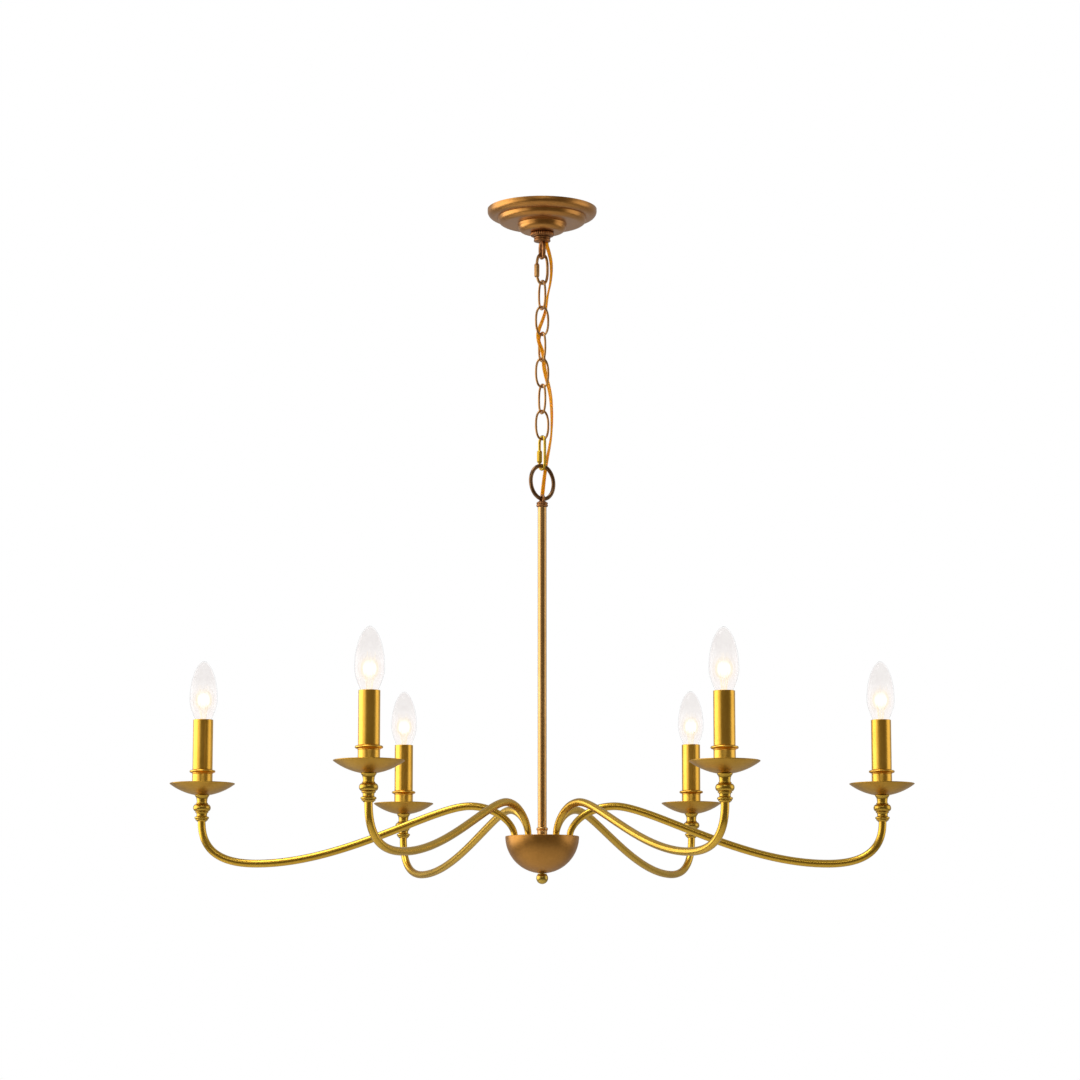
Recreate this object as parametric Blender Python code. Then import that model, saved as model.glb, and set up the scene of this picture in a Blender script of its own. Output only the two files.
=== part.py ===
# Six-arm candle chandelier hung from a ceiling canopy on a short chain.
# Metres, +Z up. The origin is the centre of the canopy's top plane, where the ceiling is.
# Arm 1 points to +X and the others follow anticlockwise, seen from above.
import math

import bmesh
import bpy
from mathutils import Matrix, Vector

# Clearances.
SEAT_GAP = 0.0003          # between pieces that rest on each other
BORE_GAP = 0.0003          # all round a tube or stud in its hole
LINK_GAP = 0.0003          # between a link and the one that hangs in it

# Ceiling fixing.
CANOPY_RADII = (0.0690, 0.0556, 0.0304)        # the three rounded steps
CANOPY_DEPTHS = (0.0112, 0.0196, 0.0302)       # their lower faces, below the ceiling
CANOPY_LIPS = (0.0030, 0.0020, 0.0024)         # straight part of each step's side
CANOPY_ROUNDS = (0.0095, 0.0090, 0.0080)       # how far each step rounds inwards
CANOPY_WALL = 0.0012
CROSSBAR_SIZE = (0.1100, 0.0200, 0.0020)
CROSSBAR_SLOT_SPACING = 0.0760
CROSSBAR_SLOT_LENGTH = 0.0140
CROSSBAR_SLOT_WIDTH = 0.0050
NIPPLE_RADIUS = 0.0049
NIPPLE_BORE = 0.0033
NIPPLE_TOP = 0.0006                            # below the ceiling plane
NIPPLE_LENGTH = 0.0387
LOCKNUT_RADIUS = 0.0086
LOCKNUT_HEIGHT = 0.0045
COLLAR_RADIUS = 0.0149
COLLAR_HEIGHT = 0.0054
LOOP_BASE_RADIUS = 0.0105
LOOP_BASE_HEIGHT = 0.0068
LOOP_BORE_FLOOR = 0.0003                       # nipple end to the bore's end
LOOP_WIRE = 0.0024                             # radii of round bars
LOOP_HALF_WIDTH = 0.0049                       # centreline
LOOP_DROP = 0.0222                             # loop's lowest point below its base

# Chain. Each link's plane is square to the next one's.
CHAIN_TWIST = math.radians(27.0)
LINK_COUNT = 6
LINK_WIRE = 0.0014
LINK_LENGTH = 0.0392
LINK_HALF_WIDTH = 0.0086
TOP_QUICK_WIRE = 0.00175
TOP_QUICK_LENGTH = 0.0412
TOP_QUICK_HALF_WIDTH = 0.0075
TOP_NUT_LENGTH = 0.0170
TOP_NUT_DROP = 0.0026                          # nut's middle below the link's middle
TOP_NUT_TRAVEL = 0.0050
BOTTOM_QUICK_WIRE = 0.00175
BOTTOM_QUICK_LENGTH = 0.0450
BOTTOM_QUICK_HALF_WIDTH = 0.00725
BOTTOM_NUT_LENGTH = 0.0153
BOTTOM_NUT_DROP = 0.0037
BOTTOM_NUT_TRAVEL = 0.0092
QUICK_NUT_WALL = 0.0016
QUICK_GAP_COVER = 0.0005                       # how far a closed nut covers the gap's lower end
RING_WIRE = 0.00245
RING_HEIGHT = 0.0470
RING_WIDTH = 0.0365

# Stem and hub.
STEM_RADIUS = 0.0055
STEM_BORE = 0.0043
EYE_WIRE = 0.0017
EYE_HALF_WIDTH = 0.00465
EYE_HEIGHT = 0.0092                            # eye's top above the cap's top
CAP_LEDGE = 0.00175                            # cap's radius beyond the stem's
CAP_HEIGHT = 0.0070
STEM_LENGTH = 0.4102                           # cap to hub plate
CORD_HOLE_DROP = 0.0092                        # cord's entry below the stem's top
CORD_HOLE_RADIUS = 0.0026
CORD_HOLE_SLOPE = math.radians(42.0)           # from the vertical
BEAD_LEDGE = 0.0016                            # bead's radius beyond the stem's
BEAD_HEIGHT = 0.0038
SLEEVE_BELOW_BEAD = 0.0071
HUB_RADIUS = 0.0454
HUB_WALL = 0.0014
PLATE_DROP = 0.0005                            # plate's top below the bowl's rim
PLATE_THICKNESS = 0.0050
PLATE_SIDE_GAP = 0.0005
STEM_FLANGE_LEDGE = 0.0035
STEM_FLANGE_HEIGHT = 0.0052
FINIAL_RADIUS = 0.0073
FINIAL_NECK_RADIUS = 0.0056
FINIAL_NECK_HEIGHT = 0.0012
FINIAL_STUD_RADIUS = 0.0025
FINIAL_HEIGHT = 0.0131                         # ball's lowest point below the bowl
FINIAL_STUD_LENGTH = 0.0300

# Arms. The curve lies in a vertical plane: out from the root, and up from the rim.
ARM_COUNT = 6
ARM_ROOT_INSET = 0.0114                        # root axis inside the bowl's outer radius
ARM_SPAN = 0.3842                              # root axis to candle axis
ARM_SETTLES = (-0.5, 1.4, -3.8, 0.8, 2.6, -0.9)  # degrees that each arm has turned at its root
ARM_RADIUS = 0.0048
ARM_ROOT_RADIUS = 0.0040
ARM_TAPER_LENGTH = 0.0300
ARM_PEAK = (0.0549, 0.0368)
ARM_DIP_INSET = 0.0678                         # lowest point inside the candle's axis
ARM_DIP_DROP = 0.0337
ARM_TOP = 0.0290
ARM_ROOT_PULL = 0.0157                         # lengths of the curve's handles
ARM_PEAK_PULLS = (0.0320, 0.0462)
ARM_DIP_PULLS = (0.1078, 0.0353)
ARM_RISE_PULL = 0.0416
KNUCKLE_BOTTOM = 0.0177                        # where the tube enters the knuckle, above the rim
ARM_FLANGE_RADIUS = 0.0078
ARM_FLANGE_HEIGHT = 0.0040

# Candle cup, pan, sleeve, socket and bulb, from the knuckle's lower end up.
KNUCKLE_HEIGHT = 0.0325
KNUCKLE_RING_RADIUS = 0.0089
KNUCKLE_NECK_RADIUS = 0.0066
KNUCKLE_BALL_RADIUS = 0.0108
KNUCKLE_BALL_HEIGHT = 0.0168                   # ball's middle above the lower end
KNUCKLE_FLARE_RADIUS = 0.0089
KNUCKLE_STUD_RADIUS = 0.0045
KNUCKLE_STUD_LENGTH = 0.0090
PAN_RADIUS = 0.0398
PAN_DEPTH = 0.0132
PAN_WALL = 0.0012
PAN_SLOPE = math.radians(11.0)                 # at the middle of the dish
CUP_LEDGE = 0.0002                             # cup's radius beyond the sleeve's
CUP_WALL = 0.0012
CUP_HEIGHT = 0.0304                            # bead's top above the pan's underside
CUP_BEAD_REACH = 0.0034                        # bead's radius beyond the cup's
CUP_BEAD_HEIGHT = 0.0034
SLEEVE_RADIUS = 0.0123
SLEEVE_WALL = 0.0010
SLEEVE_LENGTH = 0.0618
SOCKET_SIDE_GAP = 0.0017                       # socket to sleeve
SOCKET_BORE = 0.0065
SOCKET_TOP_DROP = 0.0150                       # below the sleeve's top
SOCKET_BORE_DEPTH = 0.0255
SOCKET_FLOOR = 0.0050
SOCKET_POST_RADIUS = 0.0028
SOCKET_FOOT_RADIUS = 0.0085
SOCKET_FOOT_HEIGHT = 0.0024
BULB_BASE_RADIUS = 0.0060
BULB_BASE_LENGTH = 0.0245
BULB_GLASS_RADIUS = 0.0172
BULB_RISE = 0.0725                             # bulb's tip above the sleeve's top
BULB_SIDE_GAP = 0.0009                         # glass to sleeve at the sleeve's mouth
BULB_WIDEST_DROP = 0.0470                      # widest point below the tip

# Supply cord.
CORD_RADIUS = 0.0020
CORD_POINT_STEP = 0.0090
CORD_RECESS_RADIUS = 0.0025
CORD_RECESS_DEPTH = 0.0028
CORD_SIDE = 0.0063                             # cord's start beside the canopy loop
CORD_ENTRY_OUT = 0.0080                        # straight stretch outside the stem's wall
CORD_ENTRY_IN = 0.0012                         # and past its outer face
# Route: along the first link's plane, square to it, and height.
CORD_ROUTE = (
    (0.0063, 0.0000, -0.0405),
    (0.0066, -0.0002, -0.0460),
    (0.0093, -0.0012, -0.0560),
    (0.0117, -0.0018, -0.0680),
    (0.0120, -0.0018, -0.0820),
    (0.0109, -0.0006, -0.0960),
    (0.0090, 0.0018, -0.1090),
    (0.0078, 0.0036, -0.1220),
    (0.0062, 0.0043, -0.1320),
    (0.0020, 0.0044, -0.1440),
    (-0.0022, 0.0042, -0.1540),
    (-0.0039, 0.0039, -0.1620),
    (-0.0028, 0.0033, -0.1710),
    (0.0002, 0.0030, -0.1785),
    (0.0030, 0.0034, -0.1860),
    (0.0042, 0.0039, -0.1940),
    (0.0050, 0.0042, -0.2030),
    (0.0075, 0.0043, -0.2130),
    (0.0103, 0.0037, -0.2240),
    (0.0119, 0.0018, -0.2350),
    (0.0127, 0.0002, -0.2470),
    (0.0133, -0.0005, -0.2660),
    (0.0126, -0.0005, -0.2880),
    (0.0108, 0.0010, -0.3040),
    (0.0095, 0.0031, -0.3150),
    (0.0083, 0.0048, -0.3250),
    (0.0066, 0.0050, -0.3360),
    (0.0052, 0.0052, -0.3460),
    (0.0044, 0.0060, -0.3560),
    (0.0041, 0.0077, -0.3660),
    (0.0045, 0.0088, -0.3755),
)

# Facets round a turned piece or a bar.
TURNED_STEPS = 16
BROAD_STEPS = 24
BAR_STEPS = 6
TUBE_STEPS = 8
RING_SPANS = 24
BEND_STEPS = 6             # spans in each half-turn end of a link, even so one point is at its crown

# Radii worked out from the sizes above.
CAP_RADIUS = STEM_RADIUS + CAP_LEDGE
BEAD_RADIUS = STEM_RADIUS + BEAD_LEDGE
STEM_FLANGE_RADIUS = STEM_RADIUS + STEM_FLANGE_LEDGE
ARM_ROOT_CIRCLE = HUB_RADIUS - ARM_ROOT_INSET
CUP_RADIUS = SLEEVE_RADIUS + CUP_LEDGE
CUP_BEAD_RADIUS = CUP_RADIUS + CUP_BEAD_REACH
SOCKET_RADIUS = SLEEVE_RADIUS - SLEEVE_WALL - SOCKET_SIDE_GAP
BULB_MOUTH_RADIUS = SLEEVE_RADIUS - SLEEVE_WALL - BULB_SIDE_GAP

# Heights, worked out from the ceiling down.
COLLAR_TOP = -CANOPY_DEPTHS[2] - SEAT_GAP
LOOP_BASE_TOP = COLLAR_TOP - COLLAR_HEIGHT - SEAT_GAP
LOOP_BASE_BOTTOM = LOOP_BASE_TOP - LOOP_BASE_HEIGHT
LOOP_BOTTOM = LOOP_BASE_BOTTOM - LOOP_DROP


def hang(bottom, wire, own_wire):
    # Top of a link that hangs inside one whose lowest point and bar radius are given.
    return bottom + 2 * wire + LINK_GAP + 2 * own_wire


TOP_QUICK_PIVOT = LOOP_BOTTOM + LOOP_WIRE
TOP_QUICK_TOP = hang(LOOP_BOTTOM, LOOP_WIRE, TOP_QUICK_WIRE)
TOP_QUICK_BOTTOM = TOP_QUICK_TOP - TOP_QUICK_LENGTH
FIRST_LINK_TOP = hang(TOP_QUICK_BOTTOM, TOP_QUICK_WIRE, LINK_WIRE)
LINK_PITCH = LINK_LENGTH - 4 * LINK_WIRE - LINK_GAP
LAST_LINK_BOTTOM = FIRST_LINK_TOP - (LINK_COUNT - 1) * LINK_PITCH - LINK_LENGTH
BOTTOM_QUICK_PIVOT = LAST_LINK_BOTTOM + LINK_WIRE
BOTTOM_QUICK_TOP = hang(LAST_LINK_BOTTOM, LINK_WIRE, BOTTOM_QUICK_WIRE)
BOTTOM_QUICK_BOTTOM = BOTTOM_QUICK_TOP - BOTTOM_QUICK_LENGTH
RING_PIVOT = BOTTOM_QUICK_BOTTOM + BOTTOM_QUICK_WIRE
RING_TOP = hang(BOTTOM_QUICK_BOTTOM, BOTTOM_QUICK_WIRE, RING_WIRE)
RING_BOTTOM = RING_TOP - RING_HEIGHT
BODY_PIVOT = RING_BOTTOM + RING_WIRE
EYE_TOP = hang(RING_BOTTOM, RING_WIRE, EYE_WIRE)
CAP_TOP = EYE_TOP - EYE_HEIGHT
CAP_BOTTOM = CAP_TOP - CAP_HEIGHT
STEM_TOP = CAP_BOTTOM - SEAT_GAP
PLATE_TOP = CAP_BOTTOM - STEM_LENGTH
HUB_RIM = PLATE_TOP + PLATE_DROP
PLATE_BOTTOM = PLATE_TOP - PLATE_THICKNESS
BEAD_BOTTOM = PLATE_TOP + SEAT_GAP
HUB_BOTTOM = HUB_RIM - HUB_RADIUS
KNUCKLE_TOP = KNUCKLE_BOTTOM + KNUCKLE_HEIGHT
PAN_BOTTOM = KNUCKLE_TOP + SEAT_GAP
CUP_TOP = PAN_BOTTOM + CUP_HEIGHT
SLEEVE_BOTTOM = CUP_TOP + SEAT_GAP
SLEEVE_TOP = SLEEVE_BOTTOM + SLEEVE_LENGTH
BULB_TIP = SLEEVE_TOP + BULB_RISE
SOCKET_TOP = SLEEVE_TOP - SOCKET_TOP_DROP
SOCKET_BOTTOM = KNUCKLE_TOP + KNUCKLE_STUD_LENGTH + SEAT_GAP
SOCKET_BORE_BOTTOM = SOCKET_TOP - SOCKET_BORE_DEPTH
BULB_BASE_BOTTOM = SOCKET_BORE_BOTTOM + SEAT_GAP


def clear_scene():
    for obj in list(bpy.data.objects):
        bpy.data.objects.remove(obj, do_unlink=True)


def metal(name, colour, roughness, metallic=1.0, alpha=1.0):
    mat = bpy.data.materials.get(name) or bpy.data.materials.new(name)
    mat.use_nodes = True
    shader = mat.node_tree.nodes["Principled BSDF"]
    shader.inputs["Base Color"].default_value = (*colour, 1.0)
    shader.inputs["Roughness"].default_value = roughness
    shader.inputs["Metallic"].default_value = metallic
    shader.inputs["Alpha"].default_value = alpha
    return mat


def add_object(name, mesh, mat, location=(0.0, 0.0, 0.0), turn=0.0, parent=None):
    obj = bpy.data.objects.new(name, mesh)
    bpy.context.collection.objects.link(obj)
    if not mesh.materials:
        mesh.materials.append(mat)
    obj.parent = parent
    obj.location = location
    obj.rotation_euler = (0.0, 0.0, turn)
    return obj


def add_pivot(name, location, turn=0.0, parent=None):
    pivot = bpy.data.objects.new(name, None)
    bpy.context.collection.objects.link(pivot)
    pivot.parent = parent
    pivot.location = location
    pivot.rotation_euler = (0.0, 0.0, turn)
    return pivot


def add_guide(name, mesh, location=(0.0, 0.0, 0.0), turn=0.0):
    # A shape that only joins or cuts another one.
    obj = bpy.data.objects.new(name, mesh)
    bpy.context.collection.objects.link(obj)
    obj.location = location
    obj.rotation_euler = (0.0, 0.0, turn)
    obj.hide_render = True
    obj.display_type = "WIRE"
    return obj


def combine(obj, guide, operation):
    step = obj.modifiers.new(guide.name, "BOOLEAN")
    step.object = guide
    step.operation = operation
    step.solver = "EXACT"


def finish_mesh(name, bm, sharp_degrees=40.0):
    bmesh.ops.remove_doubles(bm, verts=bm.verts, dist=1e-7)
    bmesh.ops.recalc_face_normals(bm, faces=bm.faces)
    mesh = bpy.data.meshes.new(name)
    bm.to_mesh(mesh)
    bm.free()
    mesh.shade_smooth()
    mesh.set_sharp_from_angle(angle=math.radians(sharp_degrees))
    return mesh


def bridge(bm, rings, closed):
    # Skins a run of point rings; an open run is capped at both ends.
    count = len(rings)
    for k in range(count if closed else count - 1):
        a = rings[k]
        b = rings[(k + 1) % count]
        if len(a) == 1 and len(b) == 1:
            continue
        sides = max(len(a), len(b))
        for i in range(sides):
            j = (i + 1) % sides
            corners = [a[i % len(a)], a[j % len(a)], b[j % len(b)], b[i % len(b)]]
            corners = list(dict.fromkeys(corners))
            bm.faces.new(corners)
    if not closed:
        for ring in (rings[0], rings[-1]):
            if len(ring) > 2:
                bm.faces.new(ring)


def turned(name, outline, steps=TURNED_STEPS, closed=False, start=0.0):
    # Turns an outline of (radius, height) about Z. A closed outline makes a piece with a bore.
    bm = bmesh.new()
    rings = []
    for radius, height in outline:
        if radius < 1e-7:
            rings.append([bm.verts.new((0.0, 0.0, height))])
            continue
        angles = [start + 2 * math.pi * i / steps for i in range(steps)]
        ring = [bm.verts.new((radius * math.cos(a), radius * math.sin(a), height)) for a in angles]
        rings.append(ring)
    bridge(bm, rings, closed)
    return finish_mesh(name, bm)


def swept(name, path, radii, normal, steps, closed):
    # Carries a round section along a path that lies in one plane.
    bm = bmesh.new()
    rings = []
    count = len(path)
    for k in range(count):
        before = path[k - 1] if closed or k > 0 else path[k]
        after = path[(k + 1) % count] if closed or k < count - 1 else path[k]
        along = (after - before).normalized()
        across = normal.cross(along).normalized()
        ring = []
        for i in range(steps):
            angle = 2 * math.pi * (i + 0.5) / steps
            offset = across * math.cos(angle) + normal * math.sin(angle)
            ring.append(bm.verts.new(path[k] + offset * radii[k]))
        rings.append(ring)
    bridge(bm, rings, closed)
    return finish_mesh(name, bm, 60.0)


def arc(centre, radii, start, end, spans):
    # Points of an elliptic arc in the outline plane, angles in degrees.
    points = []
    for k in range(spans + 1):
        angle = math.radians(start + (end - start) * k / spans)
        points.append((centre[0] + radii[0] * math.cos(angle), centre[1] + radii[1] * math.sin(angle)))
    return points


def box_mesh(name, size, centre):
    bm = bmesh.new()
    place = Matrix.Translation(centre) @ Matrix.Diagonal((*size, 1.0))
    bmesh.ops.create_cube(bm, size=1.0, matrix=place)
    return finish_mesh(name, bm)


def rod_into(bm, radius, length, place, steps=TURNED_STEPS):
    bmesh.ops.create_cone(
        bm, cap_ends=True, segments=steps, radius1=radius, radius2=radius, depth=length, matrix=place
    )


def link_path(length, half_width, wire, middle):
    # Centreline of an oval link in the XZ plane, its middle at the given height.
    reach = length / 2 - wire - half_width
    points = []
    for side in (1, -1):
        for k in range(BEND_STEPS + 1):
            angle = math.pi * k / BEND_STEPS
            x = side * half_width * math.cos(angle)
            z = middle + side * (reach + half_width * math.sin(angle))
            points.append(Vector((x, 0.0, z)))
    return points


def link_mesh(name, length, half_width, wire, middle=0.0):
    path = link_path(length, half_width, wire, middle)
    return swept(name, path, [wire] * len(path), Vector((0, 1, 0)), BAR_STEPS, True)


def quick_link_mesh(name, length, half_width, wire, middle, nut_middle, nut_length, travel):
    # An oval link left open on its -X side. The nut hides the gap, and clears it when it is up.
    gap_low = nut_middle - nut_length / 2 + QUICK_GAP_COVER
    gap_high = gap_low + travel - 2 * QUICK_GAP_COVER
    path = link_path(length, half_width, wire, middle)
    start = Vector((-half_width, 0.0, gap_high))
    end = Vector((-half_width, 0.0, gap_low))
    upper = list(reversed(path[: BEND_STEPS + 1]))
    lower = list(reversed(path[BEND_STEPS + 1:]))
    run = [start, *upper, *lower, end]
    return swept(name, run, [wire] * len(run), Vector((0, 1, 0)), BAR_STEPS, False)


def hexagon_nut(name, bore, radius, height):
    # A hexagon with a hexagonal bore whose flats clear a bar of the given radius.
    inner = bore / math.cos(math.pi / 6)
    half = height / 2
    outline = [(inner, half), (radius, half), (radius, -half), (inner, -half)]
    return turned(name, outline, 6, True)


def bezier(a, b, c, d, spans):
    points = []
    for k in range(spans + 1):
        t = k / spans
        u = 1 - t
        points.append(a * u**3 + b * (3 * u * u * t) + c * (3 * u * t * t) + d * t**3)
    return points


def smooth_route(points, step):
    # Centripetal curve through the route's points, read at equal steps along it.
    ends = [2 * points[0] - points[1], *points, 2 * points[-1] - points[-2]]
    fine = []
    for k in range(1, len(ends) - 2):
        p0, p1, p2, p3 = ends[k - 1: k + 3]
        for j in range(12):
            t = j / 12
            fine.append(
                0.5 * (2 * p1 + (p2 - p0) * t + (2 * p0 - 5 * p1 + 4 * p2 - p3) * t * t
                       + (3 * p1 - p0 - 3 * p2 + p3) * t**3)
            )
    fine.append(points[-1])
    reach = [0.0]
    for a, b in zip(fine, fine[1:]):
        reach.append(reach[-1] + (b - a).length)
    count = round(reach[-1] / step)
    route = []
    k = 0
    for n in range(count + 1):
        goal = reach[-1] * n / count
        while k < len(fine) - 2 and reach[k + 1] < goal:
            k += 1
        share = (goal - reach[k]) / (reach[k + 1] - reach[k])
        route.append(fine[k].lerp(fine[k + 1], share))
    return route


def canopy_outline(inset):
    # The three steps from the rim inwards, or their inner faces when inset by the wall.
    points = []
    top = 0.0
    for radius, depth, lip, round_in in zip(CANOPY_RADII, CANOPY_DEPTHS, CANOPY_LIPS, CANOPY_ROUNDS):
        drop = depth - lip + top
        centre = (radius - round_in, top - lip)
        points.append((radius - inset, top + (inset if top < 0 else 0.0)))
        points += arc(centre, (round_in - inset, drop - inset), 0, -90, 3)
        top = -depth
    return points


def ceiling_fixing(brass, bronze, steel):
    bore = NIPPLE_RADIUS + BORE_GAP
    outer = canopy_outline(0.0)
    inner = canopy_outline(CANOPY_WALL)
    hole = [(bore, -CANOPY_DEPTHS[2]), (bore, -CANOPY_DEPTHS[2] + CANOPY_WALL)]
    shell = turned("ceiling_canopy", outer + hole + list(reversed(inner)), BROAD_STEPS, True)
    add_object("ceiling_canopy", shell, brass)

    length, width, thick = CROSSBAR_SIZE
    bar = add_object("mounting_crossbar", box_mesh("mounting_crossbar", CROSSBAR_SIZE, (0, 0, -thick / 2)), steel)
    bm = bmesh.new()
    rod_into(bm, bore, 3 * thick, Matrix.Translation((0, 0, -thick / 2)))
    combine(bar, add_guide("crossbar_bore", finish_mesh("crossbar_bore", bm)), "DIFFERENCE")
    for side in (-1, 1):
        size = (CROSSBAR_SLOT_LENGTH, CROSSBAR_SLOT_WIDTH, 3 * thick)
        centre = (side * CROSSBAR_SLOT_SPACING / 2, 0, -thick / 2)
        slot = add_guide(f"crossbar_slot_{side}", box_mesh("crossbar_slot", size, centre))
        combine(bar, slot, "DIFFERENCE")

    bottom = -NIPPLE_TOP - NIPPLE_LENGTH
    tube = [(NIPPLE_RADIUS, -NIPPLE_TOP), (NIPPLE_RADIUS, bottom), (NIPPLE_BORE, bottom), (NIPPLE_BORE, -NIPPLE_TOP)]
    add_object("canopy_nipple", turned("canopy_nipple", tube, 12, True), steel)
    nut = hexagon_nut("canopy_locknut", bore, LOCKNUT_RADIUS, LOCKNUT_HEIGHT)
    add_object("canopy_locknut", nut, steel, (0, 0, -thick - SEAT_GAP - LOCKNUT_HEIGHT / 2))

    low = COLLAR_TOP - COLLAR_HEIGHT
    edge = 0.0012
    collar = [
        (bore, COLLAR_TOP),
        (COLLAR_RADIUS - edge, COLLAR_TOP),
        (COLLAR_RADIUS, COLLAR_TOP - edge),
        (COLLAR_RADIUS, low + edge),
        (COLLAR_RADIUS - edge, low),
        (bore, low),
    ]
    add_object("canopy_collar", turned("canopy_collar", collar, 20, True), bronze)
    canopy_loop(bronze, bottom - LOOP_BORE_FLOOR)


def canopy_loop(bronze, bore_end):
    # A turned base with a bore for the nipple, the cord's recess, and a round-bar loop under it.
    bore = NIPPLE_RADIUS + BORE_GAP
    edge = 0.0010
    base = [
        (0.0, bore_end),
        (bore, bore_end),
        (bore, LOOP_BASE_TOP),
        (LOOP_BASE_RADIUS - edge, LOOP_BASE_TOP),
        (LOOP_BASE_RADIUS, LOOP_BASE_TOP - edge),
        (LOOP_BASE_RADIUS, LOOP_BASE_BOTTOM + edge),
        (LOOP_BASE_RADIUS - edge, LOOP_BASE_BOTTOM),
        (0.0, LOOP_BASE_BOTTOM),
    ]
    loop = add_object("canopy_loop", turned("canopy_loop", base), bronze)
    top = LOOP_BASE_BOTTOM + 0.0005
    length = top - LOOP_BOTTOM + LOOP_WIRE
    ring = link_mesh("canopy_loop_bar", length, LOOP_HALF_WIDTH, LOOP_WIRE)
    middle = (top + LOOP_WIRE + LOOP_BOTTOM) / 2
    guide = add_guide("canopy_loop_bar", ring, (0, 0, middle), CHAIN_TWIST + math.pi / 2)
    combine(loop, guide, "UNION")
    bm = bmesh.new()
    place = Matrix.Translation((
        CORD_SIDE * math.cos(CHAIN_TWIST), CORD_SIDE * math.sin(CHAIN_TWIST), LOOP_BASE_BOTTOM,
    ))
    rod_into(bm, CORD_RECESS_RADIUS, 2 * CORD_RECESS_DEPTH, place)
    recess = add_guide("cord_recess", finish_mesh("cord_recess", bm))
    combine(loop, recess, "DIFFERENCE")


def chain(gold, yellow, bronze):
    # Each piece's origin is the middle of the bar that it hangs on, which is its hinge.
    broad = CHAIN_TWIST
    narrow = CHAIN_TWIST + math.pi / 2
    holder = add_pivot("quick_link_top_pivot", (0, 0, TOP_QUICK_PIVOT), broad)
    middle = TOP_QUICK_TOP - TOP_QUICK_LENGTH / 2 - TOP_QUICK_PIVOT
    quick_link("quick_link_top", holder, middle, TOP_QUICK_LENGTH, TOP_QUICK_HALF_WIDTH, TOP_QUICK_WIRE,
               TOP_NUT_DROP, TOP_NUT_LENGTH, TOP_NUT_TRAVEL, gold)

    for k in range(LINK_COUNT):
        top = FIRST_LINK_TOP - k * LINK_PITCH
        pivot = TOP_QUICK_BOTTOM + TOP_QUICK_WIRE if k == 0 else top + LINK_PITCH - LINK_LENGTH + LINK_WIRE
        turn = narrow if k % 2 == 0 else broad
        middle = top - LINK_LENGTH / 2 - pivot
        mesh = link_mesh(f"chain_link_{k + 1}", LINK_LENGTH, LINK_HALF_WIDTH, LINK_WIRE, middle)
        add_object(f"chain_link_{k + 1}", mesh, gold, (0, 0, pivot), turn)

    holder = add_pivot("quick_link_bottom_pivot", (0, 0, BOTTOM_QUICK_PIVOT), narrow - math.pi)
    middle = BOTTOM_QUICK_TOP - BOTTOM_QUICK_LENGTH / 2 - BOTTOM_QUICK_PIVOT
    quick_link("quick_link_bottom", holder, middle, BOTTOM_QUICK_LENGTH, BOTTOM_QUICK_HALF_WIDTH,
               BOTTOM_QUICK_WIRE, BOTTOM_NUT_DROP, BOTTOM_NUT_LENGTH, BOTTOM_NUT_TRAVEL, yellow)

    half_height = RING_HEIGHT / 2 - RING_WIRE
    half_width = RING_WIDTH / 2 - RING_WIRE
    middle = RING_TOP - RING_HEIGHT / 2 - RING_PIVOT
    step = 360 / RING_SPANS
    path = [Vector((x, 0, z)) for x, z in arc((0, middle), (half_width, half_height), 0, 360 - step, RING_SPANS - 1)]
    ring = swept("hanging_ring", path, [RING_WIRE] * len(path), Vector((0, 1, 0)), TUBE_STEPS, True)
    add_object("hanging_ring", ring, bronze, (0, 0, RING_PIVOT), broad)


def quick_link(name, holder, middle, length, half_width, wire, drop, nut_length, travel, mat):
    mesh = quick_link_mesh(name, length, half_width, wire, middle, middle - drop, nut_length, travel)
    add_object(name, mesh, mat, parent=holder)
    bore = wire + BORE_GAP
    nut = hexagon_nut(f"{name}_nut", bore, bore + QUICK_NUT_WALL, nut_length)
    add_object(f"{name}_nut", nut, mat, (-half_width, 0, middle - drop), parent=holder)


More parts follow.
